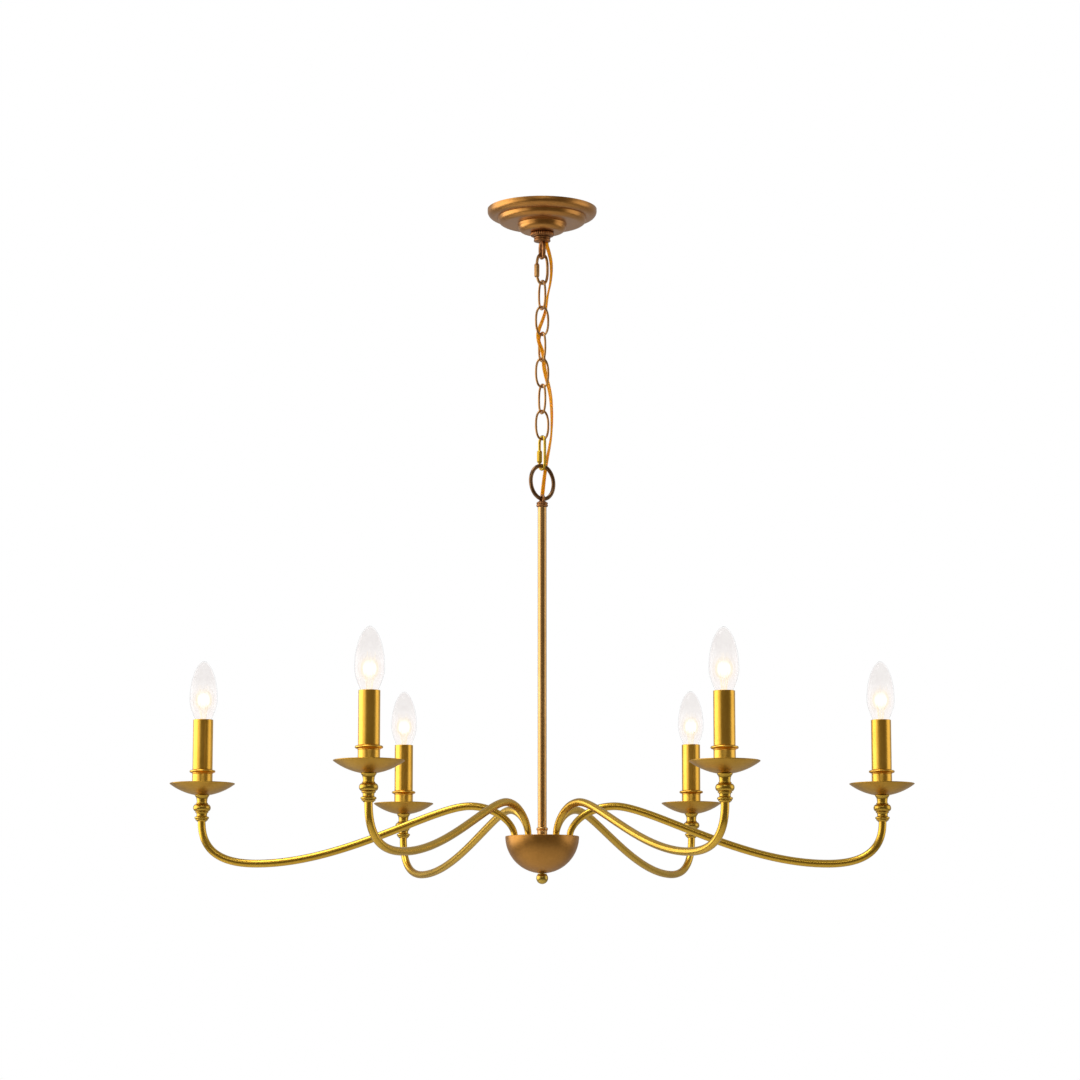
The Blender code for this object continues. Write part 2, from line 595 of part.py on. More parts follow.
def stem(gold, bronze, body):
    # The stem's cap carries the eye that the ring holds.
    edge = 0.0012
    cap = [
        (0.0, CAP_TOP),
        (CAP_RADIUS - 2 * edge, CAP_TOP),
        (CAP_RADIUS, CAP_TOP - 1.5 * edge),
        (CAP_RADIUS, CAP_BOTTOM + edge),
        (CAP_RADIUS - edge, CAP_BOTTOM),
        (0.0, CAP_BOTTOM),
    ]
    eye = add_object("stem_loop", turned("stem_loop", cap), bronze, parent=body)
    foot = CAP_TOP - 2 * EYE_WIRE
    bar = link_mesh("stem_eye_bar", EYE_TOP - foot, EYE_HALF_WIDTH, EYE_WIRE)
    turn = CHAIN_TWIST + math.pi / 2
    combine(eye, add_guide("stem_eye_bar", bar, (0, 0, (EYE_TOP + foot) / 2), turn), "UNION")

    end = PLATE_BOTTOM - SEAT_GAP - STEM_FLANGE_HEIGHT
    tube = [
        (STEM_BORE, STEM_TOP),
        (STEM_RADIUS, STEM_TOP),
        (STEM_RADIUS, PLATE_BOTTOM - SEAT_GAP),
        (STEM_FLANGE_RADIUS, PLATE_BOTTOM - SEAT_GAP),
        (STEM_FLANGE_RADIUS, end),
        (STEM_BORE, end),
    ]
    stem_tube = add_object("stem_tube", turned("stem_tube", tube, TURNED_STEPS, True), gold, parent=body)
    bm = bmesh.new()
    place = Matrix.Rotation(-CORD_HOLE_SLOPE, 4, "X")
    rod_into(bm, CORD_HOLE_RADIUS, 2 * STEM_RADIUS, place, 12)
    location = (0, STEM_RADIUS, STEM_TOP - CORD_HOLE_DROP)
    combine(stem_tube, add_guide("cord_hole", finish_mesh("cord_hole", bm), location), "DIFFERENCE")

    bore = STEM_RADIUS + BORE_GAP
    sleeve = bore + 0.0004
    top = BEAD_BOTTOM + SLEEVE_BELOW_BEAD + BEAD_HEIGHT
    bead = arc((BEAD_RADIUS - 0.0012, top - BEAD_HEIGHT / 2), (0.0012, BEAD_HEIGHT / 2), 90, -90, 4)
    ring = [(bore, top), *bead, (sleeve, top - BEAD_HEIGHT), (sleeve, BEAD_BOTTOM), (bore, BEAD_BOTTOM)]
    add_object("stem_collar", turned("stem_collar", ring, TURNED_STEPS, True), gold, parent=body)


def hub(brass, gold, body):
    radius = HUB_RADIUS - HUB_WALL
    drop = PLATE_DROP + PLATE_THICKNESS
    plate_radius = math.sqrt(radius**2 - drop**2) - PLATE_SIDE_GAP
    outline = [(0.0, PLATE_TOP), (plate_radius, PLATE_TOP), (plate_radius, PLATE_BOTTOM), (0.0, PLATE_BOTTOM)]
    plate = add_object("hub_plate", turned("hub_plate", outline, BROAD_STEPS), gold, parent=body)
    bm = bmesh.new()
    middle = (PLATE_TOP + PLATE_BOTTOM) / 2
    rod_into(bm, STEM_RADIUS + BORE_GAP, 2 * PLATE_THICKNESS, Matrix.Translation((0, 0, middle)))
    for k in range(ARM_COUNT):
        angle = 2 * math.pi * k / ARM_COUNT
        root = (ARM_ROOT_CIRCLE * math.cos(angle), ARM_ROOT_CIRCLE * math.sin(angle), middle)
        rod_into(bm, ARM_ROOT_RADIUS + BORE_GAP, 2 * PLATE_THICKNESS, Matrix.Translation(root), TUBE_STEPS * 2)
    combine(plate, add_guide("plate_bores", finish_mesh("plate_bores", bm)), "DIFFERENCE")

    hole = FINIAL_STUD_RADIUS + BORE_GAP
    outer_end = math.degrees(math.acos(hole / HUB_RADIUS))
    inner_end = math.degrees(math.acos(hole / radius))
    outer = arc((0, HUB_RIM), (HUB_RADIUS, HUB_RADIUS), 0, -outer_end, 7)
    inner = arc((0, HUB_RIM), (radius, radius), -inner_end, 0, 7)
    add_object("hub_bowl", turned("hub_bowl", outer + inner, BROAD_STEPS, True), brass, parent=body)

    # Neck under the bowl, ball, and the stud that draws the bowl up to the plate.
    neck_top = HUB_BOTTOM - SEAT_GAP
    neck_bottom = neck_top - FINIAL_NECK_HEIGHT
    centre = HUB_BOTTOM - FINIAL_HEIGHT + FINIAL_RADIUS
    start = math.degrees(math.asin((neck_bottom - centre) / FINIAL_RADIUS))
    ball = arc((0, centre), (FINIAL_RADIUS, FINIAL_RADIUS), start, -90, 6)
    stud_top = HUB_BOTTOM + FINIAL_STUD_LENGTH
    outline = [
        (0.0, stud_top),
        (FINIAL_STUD_RADIUS, stud_top),
        (FINIAL_STUD_RADIUS, neck_top),
        (FINIAL_NECK_RADIUS, neck_top),
        (FINIAL_NECK_RADIUS, neck_bottom),
        *ball[:-1],
        (0.0, centre - FINIAL_RADIUS),
    ]
    add_object("finial", turned("finial", outline, 12), gold, parent=body)


def arm_mesh():
    # Rises from its flange under the plate, arches over, dips, and rises into the knuckle.
    flange_top = PLATE_BOTTOM - HUB_RIM - SEAT_GAP
    foot = flange_top - ARM_FLANGE_HEIGHT
    peak_x, peak_z = ARM_PEAK
    dip_x, dip_z = ARM_SPAN - ARM_DIP_INSET, -ARM_DIP_DROP
    first = bezier(
        Vector((0, 0, 0)),
        Vector((0, 0, ARM_ROOT_PULL)),
        Vector((peak_x - ARM_PEAK_PULLS[0], 0, peak_z)),
        Vector((peak_x, 0, peak_z)),
        5,
    )
    second = bezier(
        Vector((peak_x, 0, peak_z)),
        Vector((peak_x + ARM_PEAK_PULLS[1], 0, peak_z)),
        Vector((dip_x - ARM_DIP_PULLS[0], 0, dip_z)),
        Vector((dip_x, 0, dip_z)),
        7,
    )
    third = bezier(
        Vector((dip_x, 0, dip_z)),
        Vector((dip_x + ARM_DIP_PULLS[1], 0, dip_z)),
        Vector((ARM_SPAN, 0, KNUCKLE_BOTTOM - ARM_RISE_PULL)),
        Vector((ARM_SPAN, 0, KNUCKLE_BOTTOM)),
        6,
    )
    curve = [*first, *second[1:], *third[1:], Vector((ARM_SPAN, 0, ARM_TOP))]
    growth = (ARM_RADIUS - ARM_ROOT_RADIUS) / ARM_TAPER_LENGTH
    radii = [min(ARM_RADIUS, ARM_ROOT_RADIUS + growth * p.x) for p in curve]
    # The flange is a stretch of the same bar with a larger radius, so its steps stand on one point.
    low = [Vector((0, 0, foot)), Vector((0, 0, flange_top - 1e-5)), Vector((0, 0, flange_top))]
    low_radii = [ARM_FLANGE_RADIUS, ARM_FLANGE_RADIUS, ARM_ROOT_RADIUS]
    return swept("arm", low + curve, low_radii + radii, Vector((0, 1, 0)), TUBE_STEPS, False)


def knuckle_mesh():
    # Turned knuckle: lower ring, neck, ball between two fine steps, neck, and a flare under the pan.
    low = KNUCKLE_BOTTOM
    bore = ARM_RADIUS + BORE_GAP
    bore_end = ARM_TOP + SEAT_GAP
    ring = arc((KNUCKLE_RING_RADIUS - 0.0025, low + 0.0038), (0.0025, 0.0028), -90, 90, 2)
    ball_z = low + KNUCKLE_BALL_HEIGHT
    ball = arc((0.0050, ball_z), (KNUCKLE_BALL_RADIUS - 0.0050, 0.0048), -75, 75, 3)
    stud_top = KNUCKLE_TOP + KNUCKLE_STUD_LENGTH
    outline = [
        (0.0, bore_end),
        (bore, bore_end),
        (bore, low),
        *ring,
        (KNUCKLE_NECK_RADIUS + 0.0010, low + 0.0094),
        *ball,
        (KNUCKLE_NECK_RADIUS, low + 0.0270),
        (KNUCKLE_FLARE_RADIUS, KNUCKLE_TOP - 0.0012),
        (KNUCKLE_FLARE_RADIUS, KNUCKLE_TOP),
        (KNUCKLE_STUD_RADIUS, KNUCKLE_TOP),
        (KNUCKLE_STUD_RADIUS, stud_top),
        (0.0, stud_top),
    ]
    return turned("arm_knuckle", outline, 12)


def pan_outline(inset):
    # Underside of the dish from its flat middle to the rim: an arc that starts at a slight slope.
    flat = KNUCKLE_FLARE_RADIUS + 0.0011
    reach = PAN_RADIUS - flat
    half_turn = math.atan2(PAN_DEPTH, reach) - PAN_SLOPE
    radius = math.hypot(reach, PAN_DEPTH) / (2 * math.sin(half_turn))
    centre = (flat - radius * math.sin(PAN_SLOPE), PAN_BOTTOM + radius * math.cos(PAN_SLOPE))
    start = math.degrees(PAN_SLOPE) - 90
    return arc(centre, (radius - inset, radius - inset), start, start + math.degrees(2 * half_turn), 3)


def pan_mesh():
    # Dish with the candle cup standing in its middle, turned as one piece.
    bore = KNUCKLE_STUD_RADIUS + BORE_GAP
    under = pan_outline(0.0)
    over = [p for p in reversed(pan_outline(PAN_WALL)) if p[0] > CUP_RADIUS + 0.002]
    floor = PAN_BOTTOM + PAN_WALL
    bead_low = CUP_TOP - CUP_BEAD_HEIGHT
    bead = arc((CUP_RADIUS + 0.0006, CUP_TOP - CUP_BEAD_HEIGHT / 2),
               (CUP_BEAD_RADIUS - CUP_RADIUS - 0.0006, CUP_BEAD_HEIGHT / 2), -90, 90, 3)
    inner = CUP_RADIUS - CUP_WALL
    outline = [
        (bore, PAN_BOTTOM),
        *under,
        *over,
        (CUP_RADIUS, floor + 0.0002),
        (CUP_RADIUS, bead_low),
        *bead,
        (inner, CUP_TOP),
        (inner, floor),
        (bore, floor),
    ]
    return turned("drip_pan", outline, TURNED_STEPS, True)


def sleeve_mesh():
    inner = SLEEVE_RADIUS - SLEEVE_WALL
    outline = [(inner, SLEEVE_TOP), (SLEEVE_RADIUS, SLEEVE_TOP), (SLEEVE_RADIUS, SLEEVE_BOTTOM), (inner, SLEEVE_BOTTOM)]
    return turned("candle_sleeve", outline, TURNED_STEPS, True)


def socket_mesh():
    # Foot on the stud, thin post, and the cup that the bulb's base stands in.
    body_low = SOCKET_BORE_BOTTOM - SOCKET_FLOOR
    foot_top = SOCKET_BOTTOM + SOCKET_FOOT_HEIGHT
    outline = [
        (0.0, SOCKET_BORE_BOTTOM),
        (SOCKET_BORE, SOCKET_BORE_BOTTOM),
        (SOCKET_BORE, SOCKET_TOP),
        (SOCKET_RADIUS, SOCKET_TOP),
        (SOCKET_RADIUS, body_low),
        (SOCKET_POST_RADIUS, body_low),
        (SOCKET_POST_RADIUS, foot_top),
        (SOCKET_FOOT_RADIUS, foot_top),
        (SOCKET_FOOT_RADIUS, SOCKET_BOTTOM),
        (0.0, SOCKET_BOTTOM),
    ]
    return turned("lamp_socket", outline, 12)


def bulb_mesh():
    # Torpedo glass: an ellipse from the widest point to the tip, and a taper down to the base.
    widest = BULB_TIP - BULB_WIDEST_DROP
    base_top = BULB_BASE_BOTTOM + BULB_BASE_LENGTH
    tip = [(BULB_GLASS_RADIUS * math.cos(a) ** 1.1, widest + BULB_WIDEST_DROP * math.sin(a))
           for a in (math.radians(d) for d in (76, 58, 38, 18, 0))]
    outline = [
        (0.0, BULB_TIP),
        *tip,
        ((BULB_GLASS_RADIUS + BULB_MOUTH_RADIUS) / 2 + 0.0008, (widest + SLEEVE_TOP) / 2 - 0.0015),
        (BULB_MOUTH_RADIUS, SLEEVE_TOP),
        (BULB_BASE_RADIUS, base_top),
        (BULB_BASE_RADIUS, BULB_BASE_BOTTOM),
        (0.0, BULB_BASE_BOTTOM),
    ]
    return turned("bulb", outline, 12)


def arms(gold, dark, glass, body):
    meshes = (
        ("arm", arm_mesh(), 0.0, gold),
        ("arm_knuckle", knuckle_mesh(), ARM_SPAN, gold),
        ("drip_pan", pan_mesh(), ARM_SPAN, gold),
        ("candle_sleeve", sleeve_mesh(), ARM_SPAN, gold),
        ("lamp_socket", socket_mesh(), ARM_SPAN, dark),
        ("bulb", bulb_mesh(), ARM_SPAN, glass),
    )
    for k in range(ARM_COUNT):
        angle = 2 * math.pi * k / ARM_COUNT
        place = (ARM_ROOT_CIRCLE * math.cos(angle), ARM_ROOT_CIRCLE * math.sin(angle), HUB_RIM)
        root = add_pivot(f"arm_root_{k + 1}", place, angle + math.radians(ARM_SETTLES[k]), body)
        for name, mesh, out, mat in meshes:
            add_object(f"{name}_{k + 1}", mesh, mat, (out, 0, 0), 0.0, root)


def supply_cord(cord_mat):
    along = Vector((math.cos(CHAIN_TWIST), math.sin(CHAIN_TWIST), 0.0))
    across = Vector((-math.sin(CHAIN_TWIST), math.cos(CHAIN_TWIST), 0.0))
    points = [along * a + across * b + Vector((0, 0, z)) for a, b, z in CORD_ROUTE]
    # The last stretch runs straight into the hole behind the stem.
    entry = Vector((0, STEM_RADIUS, STEM_TOP - CORD_HOLE_DROP))
    slope = Vector((0, math.sin(CORD_HOLE_SLOPE), math.cos(CORD_HOLE_SLOPE)))
    points += [entry + slope * CORD_ENTRY_OUT, entry - slope * CORD_ENTRY_IN]
    route = smooth_route(points, CORD_POINT_STEP)
    curve = bpy.data.curves.new("supply_cord", "CURVE")
    curve.dimensions = "3D"
    curve.resolution_u = 1
    curve.render_resolution_u = 0
    curve.bevel_depth = CORD_RADIUS
    curve.bevel_resolution = 2
    curve.use_fill_caps = True
    spline = curve.splines.new("POLY")
    spline.points.add(len(route) - 1)
    for point, place in zip(spline.points, route):
        point.co = (*place, 1.0)
    curve.materials.append(cord_mat)
    cord = bpy.data.objects.new("supply_cord", curve)
    bpy.context.collection.objects.link(cord)


def build():
    clear_scene()
    brass = metal("satin_antique_brass", (0.48, 0.27, 0.09), 0.38)
    gold = metal("brushed_gold", (0.72, 0.47, 0.12), 0.26)
    chain_brass = metal("chain_brass", (0.50, 0.29, 0.12), 0.32)
    yellow = metal("yellow_brass", (0.80, 0.58, 0.16), 0.18)
    bronze = metal("dark_bronze", (0.17, 0.09, 0.04), 0.36)
    steel = metal("zinc_steel", (0.55, 0.55, 0.55), 0.35)
    dark = metal("socket_black", (0.03, 0.03, 0.03), 0.5, 0.0)
    glass = metal("bulb_glass", (0.95, 0.92, 0.88), 0.05, 0.0, 0.35)
    cord_mat = metal("amber_cord", (0.75, 0.33, 0.03), 0.3, 0.0)
    ceiling_fixing(brass, bronze, steel)
    chain(chain_brass, yellow, bronze)
    # Everything below the ring swings together on the eye's bar.
    swing = add_pivot("body_pivot", (0, 0, BODY_PIVOT))
    body = add_pivot("body", (0, 0, -BODY_PIVOT), parent=swing)
    stem(gold, bronze, body)
    hub(brass, gold, body)
    arms(gold, dark, glass, body)
    supply_cord(cord_mat)


build()
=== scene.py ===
import math

import bpy
import numpy as np
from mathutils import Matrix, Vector


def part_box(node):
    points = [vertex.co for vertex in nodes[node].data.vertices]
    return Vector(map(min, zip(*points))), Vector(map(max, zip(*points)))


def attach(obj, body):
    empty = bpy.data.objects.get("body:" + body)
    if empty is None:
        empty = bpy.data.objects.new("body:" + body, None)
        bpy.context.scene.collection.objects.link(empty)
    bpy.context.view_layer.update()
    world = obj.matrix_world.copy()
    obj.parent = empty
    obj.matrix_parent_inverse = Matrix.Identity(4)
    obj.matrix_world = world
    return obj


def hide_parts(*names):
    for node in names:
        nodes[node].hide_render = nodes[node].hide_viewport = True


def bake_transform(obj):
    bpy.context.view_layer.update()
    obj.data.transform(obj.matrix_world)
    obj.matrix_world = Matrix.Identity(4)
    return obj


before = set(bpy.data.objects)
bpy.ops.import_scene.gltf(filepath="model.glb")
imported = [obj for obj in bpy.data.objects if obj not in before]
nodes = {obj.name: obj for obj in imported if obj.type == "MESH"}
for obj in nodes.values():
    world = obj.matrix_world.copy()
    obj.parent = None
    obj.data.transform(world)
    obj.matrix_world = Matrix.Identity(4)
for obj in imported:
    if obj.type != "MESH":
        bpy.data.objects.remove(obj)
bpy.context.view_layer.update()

print("frame loaded")


# Camera. It stands low and looks a little up.
view = {"place": (-0.0027, -3.919, -1.004), "upDegrees": 8.435, "lens": 106.0}
camData = bpy.data.cameras.new("lampCamera")
camData.lens = view["lens"]
camData.sensor_width = 36.0
camera = bpy.data.objects.new("lampCamera", camData)
bpy.context.scene.collection.objects.link(camera)
camera.location = view["place"]
camera.rotation_euler = (math.radians(90.0 + view["upDegrees"]), 0.0, 0.0)
bpy.context.scene.camera = camera


def heights(name):
    # a node's lowest and highest z
    return tuple(corner.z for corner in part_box(name))


# Surfaces on grids. Row i runs along a piece and column j runs round it.

def smoothStep(x):
    # 0 below 0, 1 above 1, and the cubic 3x^2 - 2x^3 between
    x = np.clip(x, 0.0, 1.0)
    return x * x * (3 - 2 * x)


def ellipseArc(centre, radii, start, end, count):
    # centre + radii * (cos, sin) for an angle that runs from start to end in degrees
    a = np.radians(np.linspace(start, end, count))
    return np.stack([centre[0] + radii[0] * np.cos(a), centre[1] + radii[1] * np.sin(a)], axis=1)


def rounded(corners, fillets, count=6):
    # a polygon whose corners are quadratic curves that start and end a fillet's length away
    corners = np.array(corners, float)
    runs = [corners[:1]]
    t = np.linspace(0, 1, count)[:, None]
    for k in range(1, len(corners) - 1):
        before, here, after = corners[k - 1:k + 2]
        back, ahead = before - here, after - here
        size = min(fillets[k - 1], 0.48 * np.linalg.norm(back), 0.48 * np.linalg.norm(ahead))
        a = here + back / np.linalg.norm(back) * size
        b = here + ahead / np.linalg.norm(ahead) * size
        runs.append(a * (1 - t) ** 2 + here * 2 * t * (1 - t) + b * t ** 2)
    runs.append(corners[-1:])
    return np.concatenate(runs)


def skin(grid, wrapAlong=False, lowPole=None, highPole=None, along=None):
    # quads between neighbouring rows, closed round j, with a fan to a pole at an open end
    rows, cols = grid.shape[:2]
    verts = grid.reshape(-1, 3)
    if along is None:
        step = np.linalg.norm(np.diff(grid[:, 0], axis=0), axis=1)
        along = np.concatenate([[0.0], np.cumsum(step)])
    last = rows if wrapAlong else rows - 1
    i, j = np.meshgrid(np.arange(last), np.arange(cols), indexing="ij")
    i, j = i.ravel(), j.ravel()
    iNext, jNext = (i + 1) % rows, (j + 1) % cols
    quads = np.stack([i * cols + j, i * cols + jNext, iNext * cols + jNext, iNext * cols + j], axis=1)
    alongNext = np.where(iNext > i, along[iNext], along[i] + np.linalg.norm(grid[0, 0] - grid[-1, 0]))
    u0, u1 = j / cols, (j + 1) / cols
    uvs = np.stack([u0, along[i], u1, along[i], u1, alongNext, u0, alongNext], axis=1).reshape(-1, 4, 2)
    fans, fanUvs = [], []
    k = np.arange(cols)
    for pole, row, flip in ((lowPole, 0, True), (highPole, rows - 1, False)):
        if pole is None:
            continue
        tip = len(verts)
        verts = np.vstack([verts, np.array(pole, float)[None]])
        ends = np.stack([row * cols + k, row * cols + (k + 1) % cols, np.full(cols, tip)], axis=1)
        flat = np.stack([k / cols, np.full(cols, along[row]), (k + 1) / cols, np.full(cols, along[row]),
                         (k + 0.5) / cols, np.full(cols, along[row])], axis=1).reshape(-1, 3, 2)
        fans.append(ends[:, ::-1] if flip else ends)
        fanUvs.append(flat[:, ::-1] if flip else flat)
    return verts, quads, uvs, fans, fanUvs


def volumeOf(verts, quads, fans):
    # six times the enclosed volume, positive when the faces look outwards
    tris = np.concatenate([quads[:, [0, 1, 2]], quads[:, [0, 2, 3]], *fans])
    a, b, c = verts[tris[:, 0]], verts[tris[:, 1]], verts[tris[:, 2]]
    return np.einsum("ij,ij->", a, np.cross(b, c))


def addPiece(name, body, material, shells, replaces=None, slot=None, sharp=38.0):
    # one object from one or more closed shells, each turned to face outwards
    allVerts, loops, sizes, uvRows = [], [], [], []
    offset = 0
    for verts, quads, uvs, fans, fanUvs in shells:
        flip = volumeOf(verts, quads, fans) < 0
        for faces, maps in ((quads, uvs), *zip(fans, fanUvs)):
            if flip:
                faces, maps = faces[:, ::-1], maps[:, ::-1]
            loops.append((faces + offset).ravel())
            sizes.append(np.full(len(faces), faces.shape[1]))
            uvRows.append(maps.reshape(-1, 2))
        allVerts.append(verts)
        offset += len(verts)
    verts, loops, sizes = np.vstack(allVerts), np.concatenate(loops), np.concatenate(sizes)
    mesh = bpy.data.meshes.new(name)
    mesh.vertices.add(len(verts))
    mesh.vertices.foreach_set("co", verts.astype(np.float32).ravel())
    mesh.loops.add(len(loops))
    mesh.loops.foreach_set("vertex_index", loops.astype(np.int32))
    mesh.polygons.add(len(sizes))
    starts = np.concatenate([[0], np.cumsum(sizes)[:-1]])
    mesh.polygons.foreach_set("loop_start", starts.astype(np.int32))
    layer = mesh.uv_layers.new(name="surface")
    layer.data.foreach_set("uv", np.concatenate(uvRows).astype(np.float32).ravel())
    mesh.update(calc_edges=True)
    mesh.validate()
    mesh.shade_smooth()
    mesh.set_sharp_from_angle(angle=math.radians(sharp))
    piece = bpy.data.objects.new(name, mesh)
    bpy.context.scene.collection.objects.link(piece)
    mesh.materials.append(material)
    if body:
        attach(piece, body)
    if replaces:
        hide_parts(replaces)
    return piece


def repaint(name, material):
    # a CAD node that keeps its own shape gets a finish
    nodes[name].data.materials.clear()
    nodes[name].data.materials.append(material)


def turnedGrid(outline, segments=96, axis=(0.0, 0.0), radiusAt=None):
    # radius and height of the outline, carried round a vertical axis
    outline = np.asarray(outline, float)
    a = np.linspace(0, 2 * np.pi, segments, endpoint=False)
    radius = outline[:, :1] * np.ones_like(a)
    if radiusAt is not None:
        radius = radiusAt(radius, a[None, :], outline[:, 1:2])
    x = axis[0] + radius * np.cos(a)
    y = axis[1] + radius * np.sin(a)
    z = outline[:, 1:2] * np.ones_like(a)
    return np.stack([x, y, z], axis=2)


def turned(outline, segments=96, axis=(0.0, 0.0), closed=False, radiusAt=None):
    # an open outline is closed on the axis at both ends, and a closed one is a ring
    grid = turnedGrid(outline, segments, axis, radiusAt)
    if closed:
        return skin(grid, wrapAlong=True)
    low, high = (*axis, outline[0][1]), (*axis, outline[-1][1])
    return skin(grid, lowPole=low, highPole=high)


def tubeGrid(path, radius, sides, closed, normal, section=None, twist=None):
    # path + radius * (cos a * across + sin a * normal), with the tangent from neighbouring points
    path = np.asarray(path, float)
    if closed:
        tangent = np.roll(path, -1, axis=0) - np.roll(path, 1, axis=0)
    else:
        tangent = np.gradient(path, axis=0)
    tangent /= np.linalg.norm(tangent, axis=1, keepdims=True)
    normal = np.broadcast_to(np.asarray(normal, float), path.shape)
    up = normal - tangent * np.einsum("ij,ij->i", normal, tangent)[:, None]
    up /= np.linalg.norm(up, axis=1, keepdims=True)
    side = np.cross(up, tangent)
    a = np.linspace(0, 2 * np.pi, sides, endpoint=False)
    cosA, sinA = np.cos(a), np.sin(a)
    if section is not None:
        cosA, sinA = section(a)
    cosA = np.broadcast_to(cosA, (len(path), sides))
    sinA = np.broadcast_to(sinA, (len(path), sides))
    if twist is not None:
        c, s = np.cos(twist)[:, None], np.sin(twist)[:, None]
        cosA, sinA = cosA * c - sinA * s, cosA * s + sinA * c
    radius = np.broadcast_to(np.asarray(radius, float), (len(path),))[:, None, None]
    return path[:, None] + radius * (cosA[..., None] * side[:, None] + sinA[..., None] * up[:, None])


def tube(path, radius, sides=32, closed=False, normal=(0, 1, 0), section=None, twist=None):
    path = np.asarray(path, float)
    grid = tubeGrid(path, radius, sides, closed, normal, section, twist)
    if closed:
        return skin(grid, wrapAlong=True)
    return skin(grid, lowPole=path[0], highPole=path[-1])


def ovalPath(halfWidth, halfHeight, power, count, middle, angle, lean=0.0):
    # superellipse |x/a|^p + |z/b|^p = 1, in the upright plane at this angle, leaned in that plane
    t = np.linspace(0, 2 * np.pi, count, endpoint=False)
    x = halfWidth * np.sign(np.cos(t)) * np.abs(np.cos(t)) ** (2 / power)
    z = halfHeight * np.sign(np.sin(t)) * np.abs(np.sin(t)) ** (2 / power)
    x, z = x * math.cos(lean) - z * math.sin(lean), x * math.sin(lean) + z * math.cos(lean)
    return np.stack([x * math.cos(angle), x * math.sin(angle), z], axis=1) + np.array([0, 0, middle])


def longOval(halfWidth, halfHeight, straight, count, middle, angle):
    # straight legs at +-halfWidth, closed above and below by half ellipses
    n = count // 4
    leg = np.linspace(-straight, straight, n, endpoint=False)
    a = np.linspace(0, np.pi, n, endpoint=False)
    wide, rise = halfWidth * np.cos(a), straight + (halfHeight - straight) * np.sin(a)
    x = np.concatenate([np.full(n, halfWidth), wide, np.full(n, -halfWidth), -wide])
    z = np.concatenate([leg, rise, -leg, -rise])
    return np.stack([x * math.cos(angle), x * math.sin(angle), z], axis=1) + np.array([0, 0, middle])


def bezier(a, b, c, d, count):
    # cubic with the weights (1-t)^3, 3t(1-t)^2, 3t^2(1-t), t^3
    t = np.linspace(0, 1, count)[:, None]
    a, b, c, d = (np.array(p, float) for p in (a, b, c, d))
    return a * (1 - t) ** 3 + b * 3 * t * (1 - t) ** 2 + c * 3 * t * t * (1 - t) + d * t ** 3


def throughPoints(points, perSpan):
    # each span is the cubic whose slopes are half the difference of its neighbours
    p = np.array(points, float)
    p = np.vstack([2 * p[0] - p[1], p, 2 * p[-1] - p[-2]])
    t = np.linspace(0, 1, perSpan, endpoint=False)[None, :, None]
    p0, p1, p2, p3 = (p[k:len(p) - 3 + k][:, None] for k in range(4))
    spans = 0.5 * (2 * p1 + (p2 - p0) * t + (2 * p0 - 5 * p1 + 4 * p2 - p3) * t ** 2
                   + (3 * p1 - p0 - 3 * p2 + p3) * t ** 3)
    return np.vstack([spans.reshape(-1, 3), p[-2][None]])


# Materials. A socket is wrapped so that shader maths reads as sums.

class Wave:
    # one shader value, with the operators that the finishes use

    def __init__(self, look, socket):
        self.look = look
        self.socket = socket

    def join(self, kind, other, turn=False):
        first, second = (other, self) if turn else (self, other)
        return self.look.node("Math", {"operation": kind}, {0: first, 1: second}).out("Value")

    def __add__(self, other): return self.join("ADD", other)
    def __radd__(self, other): return self.join("ADD", other, True)
    def __sub__(self, other): return self.join("SUBTRACT", other)
    def __rsub__(self, other): return self.join("SUBTRACT", other, True)
    def __mul__(self, other): return self.join("MULTIPLY", other)

    def clamp(self):
        return self.look.node("Clamp", {}, {"Value": self}).out("Result")


class NodeBox:
    # a node that has been made, for reading its outputs

    def __init__(self, look, made):
        self.look = look
        self.made = made

    def out(self, name):
        return Wave(self.look, self.made.outputs[name])


class Look:
    # one material and the only method that adds nodes to it

    def __init__(self, name, values):
        self.material = bpy.data.materials.new(name)
        self.holdNodes(self.material, "Principled BSDF")
        for key, value in values.items():
            self.shader.inputs[key].default_value = value

    def holdNodes(self, owner, shaderName):
        owner.use_nodes = True
        self.tree = owner.node_tree
        self.shader = self.tree.nodes[shaderName]

    def node(self, kind, settings, links):
        made = self.tree.nodes.new("ShaderNode" + kind)
        for key, value in settings.items():
            if key == "stops":
                ramp = made.color_ramp
                while len(ramp.elements) < len(value):
                    ramp.elements.new(0.5)
                for element, (place, colour) in zip(ramp.elements, value):
                    element.position = place
                    element.color = (*colour, 1.0)
            else:
                setattr(made, key, value)
        for key, value in links.items():
            target = made.inputs[key]
            if isinstance(value, Wave):
                self.tree.links.new(value.socket, target)
            else:
                target.default_value = value
        return NodeBox(self, made)

    def place(self, stretch=(1.0, 1.0, 1.0), surface=False):
        coords = self.node("TexCoord", {}, {}).out("UV" if surface else "Object")
        return self.node("Mapping", {}, {"Vector": coords, "Scale": stretch}).out("Vector")

    def noise(self, where, scale, detail=3.0, rough=0.55):
        links = {"Vector": where, "Scale": scale, "Detail": detail, "Roughness": rough}
        return self.node("TexNoise", {}, links).out("Fac")

    def ramp(self, value, stops):
        return self.node("ValToRGB", {"stops": stops}, {"Fac": value}).out("Color")

    def mix(self, share, first, second):
        # colours sit on the node's inputs 6 and 7, and the result on its output 2
        first, second = (value if isinstance(value, Wave) else (*value, 1.0) for value in (first, second))
        return self.node("Mix", {"data_type": "RGBA"}, {0: share, 6: first, 7: second}).out(2)

    def set(self, name, value):
        self.tree.links.new(value.socket, self.shader.inputs[name])

    def bump(self, height, depth, strength=1.0):
        made = self.node("Bump", {}, {"Height": height, "Distance": depth, "Strength": strength})
        self.set("Normal", made.out("Normal"))


